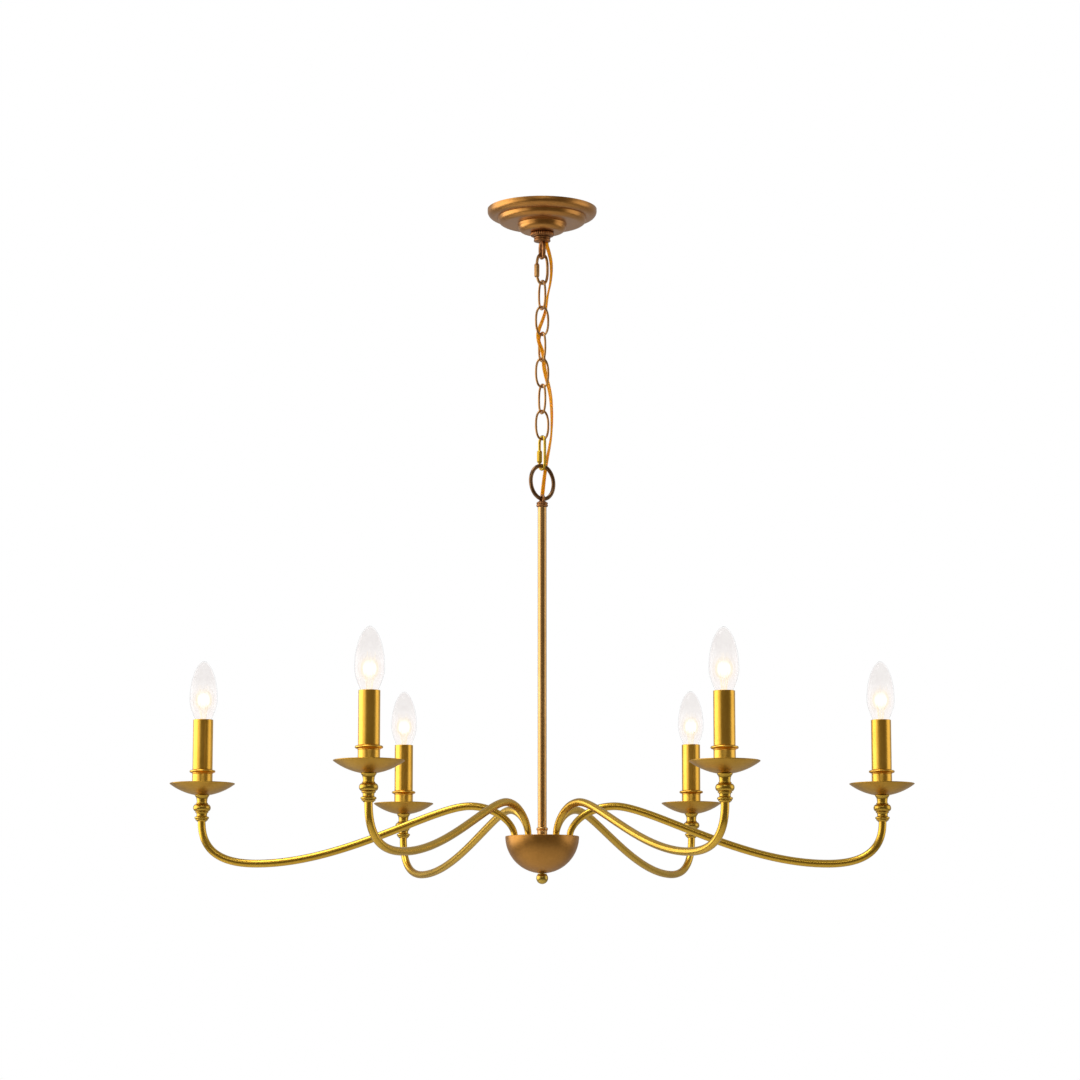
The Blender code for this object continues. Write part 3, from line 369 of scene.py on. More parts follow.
class Sky(Look):
    # the world, with its nodes made by the same method

    def __init__(self, name):
        self.world = bpy.data.worlds.new(name)
        self.holdNodes(self.world, "Background")


def satinMetal(name, deep, main, pale, roughness, spread=0.05, patch=22.0, grain=2600.0,
               brush=None, brushMix=0.3, surface=False, tooth=0.000004, stain=None, stainShare=0.0, coat=0.0):
    # lacquered metal: cloudy colour, a fine tooth, and brush marks that follow the piece
    look = Look(name, {"Metallic": 1.0, "Roughness": roughness, "Coat Weight": coat, "Coat Roughness": 0.3})
    where = look.place()
    cloud = look.noise(where, patch, 4.0)
    grit = look.noise(where, grain, 2.0, 0.6)
    speck = look.noise(where, patch * 14, 3.0, 0.65)
    tone = cloud * 0.65 + speck * 0.35
    relief = grit
    rough = roughness + (speck - 0.5) * spread * 2 + (cloud - 0.5) * spread
    if brush:
        marks = look.noise(look.place(brush, surface), 1.0, 3.0, 0.6)
        tone = tone * (1 - brushMix) + marks * brushMix
        rough = rough + (marks - 0.5) * spread * 2
        relief = grit * 0.4 + marks * 0.6
    colour = look.ramp(tone, [(0.3, deep), (0.5, main), (0.72, pale)])
    if stain:
        spots = look.node("MapRange", {}, {"Value": speck, 1: 0.6, 2: 0.74, 3: 0.0, 4: stainShare})
        colour = look.mix(spots.out("Result"), colour, stain)
    look.set("Base Color", colour)
    look.set("Roughness", rough.clamp())
    look.bump(relief, tooth)
    return look.material


antiqueBrass = satinMetal(
    "antiqueBrass", (0.39, 0.17, 0.034), (0.48, 0.218, 0.046), (0.57, 0.275, 0.064), 0.33, spread=0.03,
    patch=14.0, coat=0.25, tooth=0.000008)
bowlBrass = satinMetal(
    "bowlBrass", (0.39, 0.178, 0.034), (0.47, 0.22, 0.044), (0.55, 0.265, 0.058), 0.38, spread=0.03,
    patch=20.0, coat=0.12, tooth=0.000008)
armGold = satinMetal(
    "armGold", (0.58, 0.335, 0.036), (0.7, 0.42, 0.052), (0.82, 0.52, 0.085), 0.27, spread=0.02,
    patch=18.0, grain=900.0, brush=(14.0, 9.0, 1.0), surface=True, tooth=0.000002)
sleeveGold = satinMetal(
    "sleeveGold", (0.68, 0.365, 0.04), (0.79, 0.445, 0.06), (0.88, 0.53, 0.09), 0.3, spread=0.03,
    patch=30.0, brush=(50.0, 10.0, 1.0), surface=True, tooth=0.000002, coat=0.1)
knobGold = satinMetal(
    "knobGold", (0.46, 0.275, 0.034), (0.6, 0.37, 0.05), (0.74, 0.48, 0.085), 0.26, spread=0.05,
    patch=60.0, brush=(3.0, 1500.0, 1.0), surface=True, tooth=0.000003, stain=(0.2, 0.11, 0.02),
    stainShare=0.4)
panGold = satinMetal(
    "panGold", (0.44, 0.235, 0.03), (0.56, 0.31, 0.042), (0.68, 0.4, 0.066), 0.34, spread=0.05,
    patch=40.0, brush=(3.0, 700.0, 1.0), surface=True, tooth=0.000005)
stemGold = satinMetal(
    "stemGold", (0.5, 0.275, 0.095), (0.6, 0.345, 0.125), (0.7, 0.425, 0.17), 0.26, spread=0.02,
    patch=14.0, grain=900.0, brush=(20.0, 9.0, 1.0), surface=True, tooth=0.000001)
chainBrass = satinMetal(
    "chainBrass", (0.32, 0.155, 0.05), (0.47, 0.245, 0.085), (0.6, 0.35, 0.14), 0.34, spread=0.06,
    patch=90.0, grain=1800.0, tooth=0.000006, stain=(0.12, 0.06, 0.025), stainShare=0.6)
yellowBrass = satinMetal(
    "yellowBrass", (0.46, 0.27, 0.025), (0.6, 0.38, 0.04), (0.74, 0.5, 0.08), 0.32, spread=0.06,
    patch=80.0, grain=1800.0, tooth=0.000006, stain=(0.22, 0.12, 0.02), stainShare=0.4)
finialBrass = satinMetal(
    "finialBrass", (0.4, 0.25, 0.035), (0.54, 0.35, 0.055), (0.68, 0.47, 0.1), 0.29, spread=0.05,
    patch=60.0, grain=2000.0, tooth=0.000004)
darkBronze = satinMetal(
    "darkBronze", (0.11, 0.055, 0.024), (0.19, 0.1, 0.044), (0.3, 0.165, 0.07), 0.3, spread=0.07,
    patch=120.0, grain=1500.0, tooth=0.000012, stain=(0.46, 0.27, 0.1), stainShare=0.5)
copperBronze = satinMetal(
    "copperBronze", (0.15, 0.062, 0.022), (0.34, 0.15, 0.052), (0.56, 0.26, 0.09), 0.36, spread=0.1,
    patch=170.0, grain=1300.0, tooth=0.000025, stain=(0.05, 0.025, 0.014), stainShare=0.8)
zincSteel = satinMetal(
    "zincSteel", (0.45, 0.45, 0.46), (0.56, 0.56, 0.57), (0.66, 0.66, 0.68), 0.36, spread=0.08,
    patch=60.0, grain=900.0, tooth=0.000008)


def plastic(name, dark, pale, roughness, scale, depth):
    look = Look(name, {"Roughness": roughness})
    where = look.place()
    cloud = look.noise(where, scale, 3.0)
    look.set("Base Color", look.mix(cloud, dark, pale))
    look.set("Roughness", (roughness + (cloud - 0.5) * 0.2).clamp())
    look.bump(look.noise(where, scale * 20, 2.0), depth)
    return look.material


socketBlack = plastic("socketBlack", (0.02, 0.02, 0.02), (0.05, 0.05, 0.05), 0.5, 120.0, 0.00003)
print("finishes made")


# Supply cord: a limp two-core flex that wanders down through the chain.
flex = {"strand": 0.00135, "spacing": 0.00122, "turnsPerMetre": 5.5, "twist": 0.49, "firstTurn": 0.9,
        "sides": 28}
cordHole = {"drop": 0.0092, "depth": 0.0055, "slope": math.radians(42.0), "before": 0.008, "past": 0.0012}
cordRoute = (
    (0.0063, 0.0, -0.0405), (0.0066, -0.0002, -0.046), (0.0093, -0.0012, -0.056),
    (0.0117, -0.0018, -0.068), (0.012, -0.0018, -0.082), (0.0109, -0.0006, -0.096),
    (0.009, 0.0018, -0.109), (0.0078, 0.0036, -0.122), (0.0062, 0.0043, -0.132),
    (0.002, 0.0044, -0.144), (-0.0022, 0.0042, -0.154), (-0.0039, 0.0039, -0.162),
    (-0.0028, 0.0033, -0.171), (0.0002, 0.003, -0.1785), (0.003, 0.0034, -0.186),
    (0.0042, 0.0039, -0.194), (0.005, 0.0042, -0.203), (0.0075, 0.0043, -0.213),
    (0.0103, 0.0037, -0.224), (0.0119, 0.0018, -0.235), (0.0127, 0.0002, -0.247),
    (0.0133, -0.0005, -0.266), (0.0126, -0.0005, -0.288), (0.0108, 0.001, -0.304),
    (0.0095, 0.0031, -0.315), (0.0083, 0.0048, -0.325), (0.0066, 0.005, -0.336),
    (0.0052, 0.0052, -0.346), (0.0044, 0.006, -0.356), (0.0041, 0.0077, -0.366),
    (0.0045, 0.0088, -0.3755),
)
chainTurn = math.radians(27.0)
alongChain = np.array([math.cos(chainTurn), math.sin(chainTurn), 0.0])
acrossChain = np.array([-math.sin(chainTurn), math.cos(chainTurn), 0.0])
stemLow, stemTop = heights("stem_tube")
entry = np.array([0.0, cordHole["depth"], stemTop - cordHole["drop"]])
slope = np.array([0.0, math.sin(cordHole["slope"]), math.cos(cordHole["slope"])])
cordPoints = np.array(cordRoute) @ np.stack([alongChain, acrossChain, [0.0, 0.0, 1.0]])
cordEnd = [entry + slope * cordHole["before"], entry - slope * cordHole["past"]]
cordPath = throughPoints(np.vstack([cordPoints, *cordEnd]), 8)
cordSteps = np.linalg.norm(np.diff(cordPath, axis=0), axis=1)
cordReach = np.concatenate([[0.0], np.cumsum(cordSteps)])


def twinSection(a):
    # outline of two touching round strands: the farther of the two circles in each direction
    s, r = flex["spacing"], flex["strand"]
    reach = s * np.abs(np.cos(a)) + np.sqrt(np.maximum(r * r - (s * np.sin(a)) ** 2, 0.0))
    return reach * np.cos(a), reach * np.sin(a)


def flexLook():
    look = Look("amberFlex", {"Roughness": 0.28, "IOR": 1.35, "Transmission Weight": 0.5})
    lines = look.noise(look.place((9.0, 240.0, 1.0), True), 1.0, 3.0, 0.6)
    slow = look.noise(look.place(), 60.0, 3.0)
    ambers = [(0.32, (0.88, 0.32, 0.003)), (0.5, (0.98, 0.44, 0.005)), (0.7, (1.0, 0.58, 0.02))]
    look.set("Base Color", look.ramp(lines * 0.6 + slow * 0.4, ambers))
    look.bump(lines, 0.00001, 0.6)
    return look.material


# The cord runs down through the chain and is cut at each hanging body's middle.
turn = flex["firstTurn"] + flex["twist"] * 2 * np.pi * flex["turnsPerMetre"] * cordReach
cordGrid = tubeGrid(cordPath, 1.0, flex["sides"], False, acrossChain, twinSection, turn)
hanging = ["quick_link_top", *(f"chain_link_{k}" for k in range(1, 7)), "quick_link_bottom", "hanging_ring"]
cordBodies = ["ceiling_fixing", *hanging, "hub"]
cordTop, cordFoot = -0.045, -0.3835
cordHeights = [cordTop, *(sum(heights(name)) / 2 for name in hanging), cordFoot]
cordCuts = [0, *(int(np.argmin(np.abs(cordPath[:, 2] - z))) for z in cordHeights[1:-1]), len(cordPath) - 1]
flexMaterial = flexLook()
for k, (above, below) in enumerate(zip(cordBodies, cordBodies[1:])):
    first, last = cordCuts[k:k + 2]
    high, low = cordHeights[k:k + 2]
    run = slice(first, last + 1)
    shell = skin(cordGrid[run], lowPole=cordPath[first], highPole=cordPath[last], along=cordReach[run])
    cord = addPiece(f"supplyFlex{k + 1}", None, flexMaterial, [shell], sharp=70.0)
    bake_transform(cord)
    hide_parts("supply_cord")
print("cord", round(float(cordReach[-1]), 4), "m")


# Ceiling canopy: three rounded steps, spun from sheet.
canopy = {"wall": 0.0012, "hole": 0.0053, "crease": 0.0007, "segments": 192,
          "radii": (0.069, 0.0556, 0.0304), "depths": (0.0112, 0.0196, 0.0302),
          "lips": (0.003, 0.002, 0.0024), "rounds": (0.0095, 0.009, 0.008)}


def canopyOutline(inset):
    # for each step: a short upright lip, then a quarter ellipse that turns in under it
    runs, top = [], 0.0
    for radius, depth, lip, turnIn in zip(*(canopy[key] for key in ("radii", "depths", "lips", "rounds"))):
        drop = depth + top - lip
        crease = 0.0 if top == 0.0 else canopy["crease"]
        runs.append([[radius - inset + crease, top + (inset if top < 0 else 0.0)]])
        runs.append(ellipseArc((radius - turnIn, top - lip), (turnIn - inset, drop - inset), 0, -90, 22))
        top = -depth
    return np.concatenate(runs)


hole = canopy["hole"]
outer = canopyOutline(0.0)
inner = canopyOutline(canopy["wall"])
low = outer[-1][1]
shellOutline = np.concatenate([outer, [[hole, low], [hole, low + canopy["wall"]]], inner[::-1]])
canopyShell = turned(shellOutline, canopy["segments"], closed=True)
addPiece("spunCanopy", "ceiling_fixing", antiqueBrass, [canopyShell],
         replaces="ceiling_canopy", slot="antique_brass", sharp=50.0)

# Reeded collar and the loop's stepped base.
collar = {"radius": 0.0149, "reeds": 34, "reedDepth": 0.0005, "edge": 0.0016, "segments": 272}
loop = {"base": 0.0105, "baseHeight": 0.0068, "wire": 0.0024, "halfWidth": 0.0049, "power": 2.6,
        "sink": 0.0005}
collarLow, collarHigh = heights("canopy_collar")


def reeded(radius, angle, height):
    # a row of shallow hollows round the rim: radius - depth * |sin| where the rim is full
    full = smoothStep((radius - collar["radius"] + 0.0022) / 0.0014)
    return radius - collar["reedDepth"] * full * (1 - np.abs(np.sin(angle * collar["reeds"] / 2)))


r, e = collar["radius"], collar["edge"]
collarOutline = rounded([(hole, collarLow), (0.0118, collarLow), (0.0122, collarLow + 0.0009),
                         (r, collarLow + 0.0012), (r, collarHigh), (hole, collarHigh), (hole, collarLow)],
                        [0.0004, 0.0003, e, e, 0.0002], 7)[:-1]
collarShell = turned(collarOutline, collar["segments"], closed=True, radiusAt=reeded)
addPiece("reededCollar", "ceiling_fixing", copperBronze, [collarShell],
         replaces="canopy_collar", slot="dark_bronze")

loopLow, loopHigh = heights("canopy_loop")
b = loop["base"]
baseLow = loopHigh - loop["baseHeight"]
baseOutline = rounded(
    [(0.0001, baseLow), (0.0068, baseLow), (0.0078, baseLow + 0.001), (b, baseLow + 0.0012),
     (b, baseLow + 0.0034), (b - 0.0011, baseLow + 0.0038), (b - 0.0011, baseLow + 0.0044),
     (b, baseLow + 0.0048), (b, loopHigh), (hole, loopHigh), (hole, loopHigh - 0.0029)],
    [0.0006, 0.0005, 0.0007, 0.0007, 0.0003, 0.0003, 0.0006, 0.0009, 0.0002], 6)
loopTop = baseLow + loop["sink"] + loop["wire"]
loopMiddle = (loopTop + loopLow) / 2
loopHalf = (loopTop - loopLow) / 2 - loop["wire"]
loopPath = ovalPath(loop["halfWidth"], loopHalf, loop["power"], 72, loopMiddle, chainTurn + math.pi / 2)
addPiece("canopyLoop", "ceiling_fixing", copperBronze,
         [turned(baseOutline), tube(loopPath, loop["wire"], 28, True, alongChain)],
         replaces="canopy_loop", slot="dark_bronze")
print("ceiling fixing made")


# Chain. Links are bent from round bar, each with a small brazed seam.
link = {"wire": 0.0014, "length": 0.0392, "halfWidth": 0.0086, "power": 2.35, "seam": 0.00012, "steps": 120}
quick = {"wire": 0.00175, "power": 2.7, "bend": 1.04, "gapFloor": 0.0008, "nutWall": 0.0016,
         "nutClearance": 0.0003, "steps": 240}
broad, narrow = chainTurn, chainTurn + math.pi / 2


def planeNormal(angle):
    return np.array([-math.sin(angle), math.cos(angle), 0.0])


for k in range(1, 7):
    middle = sum(heights(f"chain_link_{k}")) / 2
    height = link["length"] / 2 - link["wire"]
    angle = narrow if k % 2 else broad
    path = ovalPath(link["halfWidth"], height, link["power"], link["steps"], middle, angle)
    # the seam falls away as half a bell curve from the place where the bar's ends meet
    seamAt = 4 if k % 3 else 62
    pastSeam = (np.arange(link["steps"]) - seamAt) % link["steps"]
    seam = link["seam"] * np.exp(-(pastSeam / 1.6) ** 2)
    linkShell = tube(path, link["wire"] + seam, 24, True, planeNormal(angle))
    addPiece(f"chainLink{k}", f"chain_link_{k}", chainBrass, [linkShell],
             replaces=f"chain_link_{k}", slot="chain_brass")


def quickLink(name, title, material, length, halfWidth, gap, straightLegs, turnAngle, slot):
    # open oval whose gap is covered by a long barrel nut with six flats
    nutLow, nutHigh = heights(f"{name}_nut")
    middle = sum(heights(name)) / 2
    half = length / 2 - quick["wire"]
    if straightLegs:
        path = longOval(halfWidth, half, half - quick["bend"] * halfWidth, quick["steps"], middle, turnAngle)
    else:
        path = ovalPath(halfWidth, half, quick["power"], quick["steps"], middle, turnAngle)
    side = path @ np.array([math.cos(turnAngle), math.sin(turnAngle), 0.0])
    gone = (side < 0) & (path[:, 2] > nutLow + quick["gapFloor"]) & (path[:, 2] < nutLow + gap)
    first = int(np.argmax(gone)) + int(gone.sum())
    kept = np.roll(path, -first, axis=0)[:len(path) - int(gone.sum())]
    reach = np.abs(np.arange(len(kept)) - (len(kept) - 1) / 2) / ((len(kept) - 1) / 2)
    width = quick["wire"] * np.where(reach > 0.996, 0.9, 1.0)
    addPiece(title, name, material, [tube(kept, width, 28, False, planeNormal(turnAngle))],
             replaces=name, slot=slot)
    centre = -halfWidth * np.array([math.cos(turnAngle), math.sin(turnAngle)])
    bore = quick["wire"] + quick["nutClearance"]
    wide = bore + quick["nutWall"]
    outline = rounded([(bore, nutLow), (wide - 0.0009, nutLow), (wide, nutLow + 0.0016),
                       (wide, nutHigh - 0.0016), (wide - 0.0009, nutHigh), (bore, nutHigh), (bore, nutLow)],
                      [0.0003, 0.0008, 0.0008, 0.0003, 0.0002], 5)[:-1]

    def sixFlats(radius, a, height):
        # hexagon distance: r / cos of the angle to the nearest flat, blended with a circle
        fromFlat = (a + math.pi / 6) % (math.pi / 3) - math.pi / 6
        flat = radius * math.cos(math.pi / 6) / np.cos(fromFlat)
        outside = smoothStep((radius - bore - 0.0003) / 0.0004)
        return radius * (1 - outside) + np.minimum(radius * 0.985, flat * 1.03) * outside

    addPiece(f"{title}Nut", f"{name}_nut", material, [turned(outline, 96, tuple(centre), True, sixFlats)],
             replaces=f"{name}_nut", slot=slot, sharp=30.0)


quickLink("quick_link_top", "topQuickLink", chainBrass, 0.0412, 0.0075, 0.0044, False, broad, "chain_brass")
quickLink("quick_link_bottom", "bottomQuickLink", yellowBrass, 0.045, 0.00725, 0.0086, True,
          narrow - math.pi, "yellow_brass")

# Dark oval ring.
ring = {"wire": 0.00245, "halfWidth": 0.0158, "halfHeight": 0.02105, "power": 2.0, "lean": 0.12}
ringMiddle = sum(heights("hanging_ring")) / 2
ringPath = ovalPath(ring["halfWidth"], ring["halfHeight"], ring["power"], 160, ringMiddle,
                    broad, ring["lean"])
addPiece("ovalRing", "hanging_ring", darkBronze, [tube(ringPath, ring["wire"], 32, True, planeNormal(broad))],
         replaces="hanging_ring", slot="dark_bronze")
print("chain made")


# Stem with its cap, eye and lower collar.
stem = {"radius": 0.0055, "bore": 0.0043, "eyeWire": 0.0017, "eyeHalf": 0.00465, "capRadius": 0.00725,
        "capHeight": 0.007, "seat": 0.0003, "flange": 0.0035}
capLow, eyeTop = heights("stem_loop")
capTop = capLow + stem["capHeight"]
c = stem["capRadius"]
capOutline = rounded([(0.0001, capLow), (c - 0.001, capLow), (c, capLow + 0.0008), (c, capLow + 0.0026),
                      (c - 0.0007, capLow + 0.003), (c - 0.0007, capLow + 0.0036), (c, capLow + 0.004),
                      (c, capLow + 0.005), (c - 0.0024, capTop), (0.0001, capTop)],
                     [0.0004, 0.0005, 0.0005, 0.0002, 0.0002, 0.0005, 0.001, 0.0012], 6)
eyeHalf = (eyeTop - capTop + 2 * stem["eyeWire"]) / 2 - stem["eyeWire"]
eyePath = ovalPath(stem["eyeHalf"], eyeHalf, 2.2, 72, eyeTop - stem["eyeWire"] - eyeHalf, narrow)
addPiece("stemCap", "hub", copperBronze,
         [turned(capOutline), tube(eyePath, stem["eyeWire"], 24, True, alongChain)],
         replaces="stem_loop", slot="dark_bronze")

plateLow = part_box("hub_plate")[0].z
s = stem["radius"]
flangeTop = plateLow - stem["seat"]
upright = np.stack([np.full(50, s), np.linspace(flangeTop + 0.001, stemTop - 0.0008, 50)], axis=1)
foot = rounded([(stem["bore"], stemLow), (s + stem["flange"], stemLow), (s + stem["flange"], flangeTop),
                (s, flangeTop), (s, flangeTop + 0.0008)], [0.0004, 0.0004, 0.0002], 5)
head = rounded([(s, stemTop - 0.0006), (s, stemTop), (stem["bore"], stemTop),
                (stem["bore"], stemTop - 0.001)], [0.0004, 0.0003], 5)
addPiece("longStem", "hub", stemGold, [turned(np.concatenate([foot, upright, head]), closed=True)],
         replaces="stem_tube", slot="brushed_gold")

# Bush round the cord's entry: an oval ring that follows the tube's wall.
bush = {"halfWidth": 0.0026, "halfHeight": 0.0036, "proud": 0.0002, "wire": 0.00055}
aroundBush = np.linspace(0, 2 * np.pi, 48, endpoint=False)
bushX, bushZ = bush["halfWidth"] * np.cos(aroundBush), bush["halfHeight"] * np.sin(aroundBush)
bushY = np.sqrt((s + bush["proud"]) ** 2 - bushX ** 2)
bushPath = np.stack([bushX, bushY, stemTop - cordHole["drop"] + bushZ], axis=1)
bushShell = tube(bushPath, bush["wire"], 16, True, (0, 1, 0))
addPiece("cordBush", "hub", socketBlack, [bushShell], slot="socket_black")

collarLow, collarHigh = heights("stem_collar")
beadOutline = np.concatenate([
    [[0.0058, collarHigh]],
    ellipseArc((0.006, collarHigh - 0.0019), (0.0011, 0.0019), 85, 8, 12),
    ellipseArc((0.006, collarHigh - 0.0019), (0.0011, 0.0019), -8, -85, 12),
    rounded([(0.0062, collarHigh - 0.004), (0.0062, collarLow), (0.0058, collarLow)], [0.0002], 4)])
addPiece("stemBead", "hub", stemGold, [turned(beadOutline, closed=True)],
         replaces="stem_collar", slot="brushed_gold")

# Hub: the plate that everything hangs in, its bowl, and the finial.
hub = {"radius": 0.0454, "wall": 0.0014, "hole": 0.0028, "rootCircle": 0.034, "ballRadius": 0.0073}
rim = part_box("hub_bowl")[1].z
bottom = rim - hub["radius"]
w, wide = hub["wall"], hub["radius"]
outerEnd = -math.degrees(math.acos(hub["hole"] / wide))
innerEnd = -math.degrees(math.acos(hub["hole"] / (wide - w)))
bowlOutline = np.concatenate([
    ellipseArc((0, rim), (wide - w, wide - w), innerEnd, -1.2, 60),
    ellipseArc((wide - w / 2, rim - w / 2), (w / 2, w / 2), 180, 0, 9),
    ellipseArc((0, rim), (wide, wide), -1.2, outerEnd, 72)])
addPiece("hubBowl", "hub", bowlBrass, [turned(bowlOutline, 160, closed=True)],
         replaces="hub_bowl", slot="antique_brass", sharp=60.0)
repaint("hub_plate", stemGold)

ball = hub["ballRadius"]
finialLow, finialHigh = heights("finial")
ballAt = finialLow + ball
neckLow = bottom - 0.0003 - 0.0012
ballStart = math.degrees(math.asin((neckLow - ballAt) / ball))
finialOutline = np.concatenate([
    ellipseArc((0, ballAt), (ball, ball), -89.5, ballStart, 48),
    rounded([(0.005, neckLow), (0.0056, neckLow + 0.0001), (0.0056, neckLow + 0.0012),
             (0.0025, neckLow + 0.0012)], [0.0003, 0.0004], 5),
    rounded([(0.0025, neckLow + 0.002), (0.0025, finialHigh), (0.0001, finialHigh)], [0.0006], 5)])
addPiece("ballFinial", "hub", finialBrass, [turned(finialOutline)],
         replaces="finial", slot="yellow_brass")
print("stem and hub made")


# Arms: each in its own upright plane, between its root and its candle's axis.
arm = {"radius": 0.0048, "rootRadius": 0.004, "taper": 0.03, "span": 0.3842, "peak": (0.0549, 0.0368),
       "dip": (0.3164, -0.0337), "pulls": (0.0157, 0.032, 0.0462, 0.1078, 0.0353, 0.0416), "top": 0.029,
       "mouth": 0.0177, "flange": 0.0078, "flangeHeight": 0.004, "sides": 40}
knuckle = {"segments": 72}
pan = {"radius": 0.0398, "flat": 0.01, "depth": 0.0132, "wall": 0.0012, "slope": math.radians(11.0),
       "segments": 128}
cup = {"radius": 0.0125, "wall": 0.0012, "height": 0.0304, "bead": 0.0159, "beadHeight": 0.0034}
sleeve = {"radius": 0.0123, "wall": 0.001, "segments": 96}
bulb = {"radius": 0.0172, "widestDrop": 0.047, "glassDrop": 0.0865, "wall": 0.0006, "neck": 0.006,
        "fade": 0.043, "segments": 72}


def bump(low, high, base, peak, power=1.0, count=14):
    # base + (peak - base) * sin^power over one half wave from low to high
    t = np.linspace(0, np.pi, count)
    half = (high - low) / 2
    return np.stack([base + (peak - base) * np.sin(t) ** power, low + half * (1 - np.cos(t))], axis=1)


def armCurve():
    # three cubics: out of the root and over the peak, down to the dip, and up into the knuckle
    p1, p2, p3, p4, p5, p6 = arm["pulls"]
    (px, pz), (dx, dz), sp = arm["peak"], arm["dip"], arm["span"]
    first = bezier((0, 0), (0, p1), (px - p2, pz), (px, pz), 48)
    second = bezier((px, pz), (px + p3, pz), (dx - p4, dz), (dx, dz), 64)
    third = bezier((dx, dz), (dx + p5, dz), (sp, arm["mouth"] - p6), (sp, arm["mouth"]), 56)
    return np.concatenate([first, second[1:], third[1:], [[sp, arm["top"]]]])


def knuckleOutline():
    # from the bore's end: lower ring, neck, ball between fine steps, waist, and the flare under the pan
    waist = np.linspace(0, 1, 12)[:, None]
    flare = np.hstack([0.0066 + 0.0021 * waist ** 2.2, 0.0262 + 0.0052 * waist])
    parts = [
        [[0.0051, 0.0108], [0.0051, 0.0004], [0.0055, 0.0]],
        [[0.006, 0.0002], [0.0064, 0.001]],
        bump(0.0013, 0.0029, 0.0066, 0.0078, 0.8, 9),
        bump(0.003, 0.006, 0.0072, 0.0089, 0.6, 15),
        rounded([(0.007, 0.0062), (0.0064, 0.0072), (0.0066, 0.0098), (0.0072, 0.0106)],
                [0.0008, 0.001], 6),
        bump(0.0107, 0.0122, 0.0072, 0.0082, 0.6, 9),
        bump(0.0123, 0.0213, 0.0066, 0.0108, 0.85, 28),
        bump(0.0215, 0.0228, 0.0066, 0.0076, 0.6, 9),
        [[0.0064, 0.0238], [0.0064, 0.025]],
        flare,
        rounded([(0.0088, 0.0316), (0.0089, 0.0318), (0.0089, 0.0325), (0.0045, 0.0325)],
                [0.0002, 0.0003], 5),
        rounded([(0.0045, 0.033), (0.0045, 0.0415), (0.0001, 0.0415)], [0.0006], 5)]
    return np.concatenate([np.asarray(p, float) for p in parts])


def dish(inset, count=26):
    # an arc that leaves the flat middle at a slight slope and steepens to the rim
    reach = pan["radius"] - pan["flat"]
    half = math.atan2(pan["depth"], reach) - pan["slope"]
    size = math.hypot(reach, pan["depth"]) / (2 * math.sin(half))
    centre = (pan["flat"] - size * math.sin(pan["slope"]), size * math.cos(pan["slope"]))
    start = math.degrees(pan["slope"]) - 90
    return ellipseArc(centre, (size - inset, size - inset), start, start + math.degrees(2 * half), count)


def panOutline():
    # underside, rolled rim and upper side of the dish, above its base
    under, over = dish(0.0), dish(pan["wall"])
    middle = (under[-1] + over[-1]) / 2
    edge = under[-1] - middle
    t = np.linspace(0, np.pi, 8)[1:-1, None]
    side = np.array([-edge[1], edge[0]])
    side = side if side[0] > 0 else -side
    rimRoll = middle + edge * np.cos(t) + side * np.sin(t)
    return np.concatenate([under, rimRoll, over[::-1], [[0.0048, pan["wall"]], [0.0048, 0.0]]])


def cupOutline():
    # a thin foot, an upright wall with a groove, the bead, and the bore
    c, bore = cup["radius"], cup["radius"] - cup["wall"]
    top, low, floor = cup["height"], cup["height"] - cup["beadHeight"], pan["wall"]
    foot = [[bore, floor - 0.0002], [c + 0.0012, floor - 0.0002], [c + 0.0012, floor + 0.0004],
            [c + 0.0003, floor + 0.001], [c, floor + 0.0022]]
    wall = [[c, low - 0.0022], [c - 0.0002, low - 0.0016], [c + 0.0004, low - 0.001],
            [c + 0.0004, low - 0.0004]]
    bead = bump(low, top, c + 0.0006, cup["bead"], 0.75, 18)
    return np.concatenate([foot, wall, bead, [[bore + 0.0003, top], [bore, top - 0.0004]]])


def glassRadius(drop):
    # above the widest point R * cos^1.1, and below it a squared cosine that narrows to the neck
    wide, high = bulb["radius"], bulb["widestDrop"]
    up = np.clip((high - drop) / high, 0, 1)
    upper = wide * np.maximum(1 - up ** 2, 0.0) ** 0.55
    down = np.clip((drop - high) / bulb["fade"], 0, 1)
    lower = bulb["neck"] + (wide - bulb["neck"]) * np.cos(down * np.pi / 2) ** 2
    return np.where(drop < high, upper, lower)


def glassLook():
    look = Look("bulbGlass", {"Roughness": 0.015, "IOR": 1.09, "Transmission Weight": 1.0})
    slow = look.noise(look.place(), 70.0, 2.0)
    look.set("Base Color", look.ramp(slow, [(0.35, (0.975, 0.96, 0.96)), (0.65, (0.992, 0.982, 0.98))]))
    look.set("Roughness", (0.01 + slow * 0.03).clamp())
    return look.material


def glowLook(name, colours, strength, alpha, low, high, rise=0.25, fall=0.25):
    # light between two heights: it rises over one share of the span and falls over another, a little uneven
    look = Look(name, {"Base Color": (0, 0, 0, 1), "Roughness": 1.0, "Specular IOR Level": 0.0,
                       "Emission Strength": strength})
    where = look.place()
    height = look.node("SeparateXYZ", {}, {"Vector": where}).out("Z")
    share = (height - low) * (1.0 / (high - low))
    fade = (share * (1.0 / rise)).clamp() * ((1.0 - share) * (1.0 / fall)).clamp()
    uneven = 0.7 + look.noise(look.place((1.0, 1.0, 0.25)), 420.0, 2.0) * 0.6
    look.set("Alpha", (fade * uneven * alpha).clamp())
    look.set("Emission Color", look.ramp(share, colours))
    return look.material


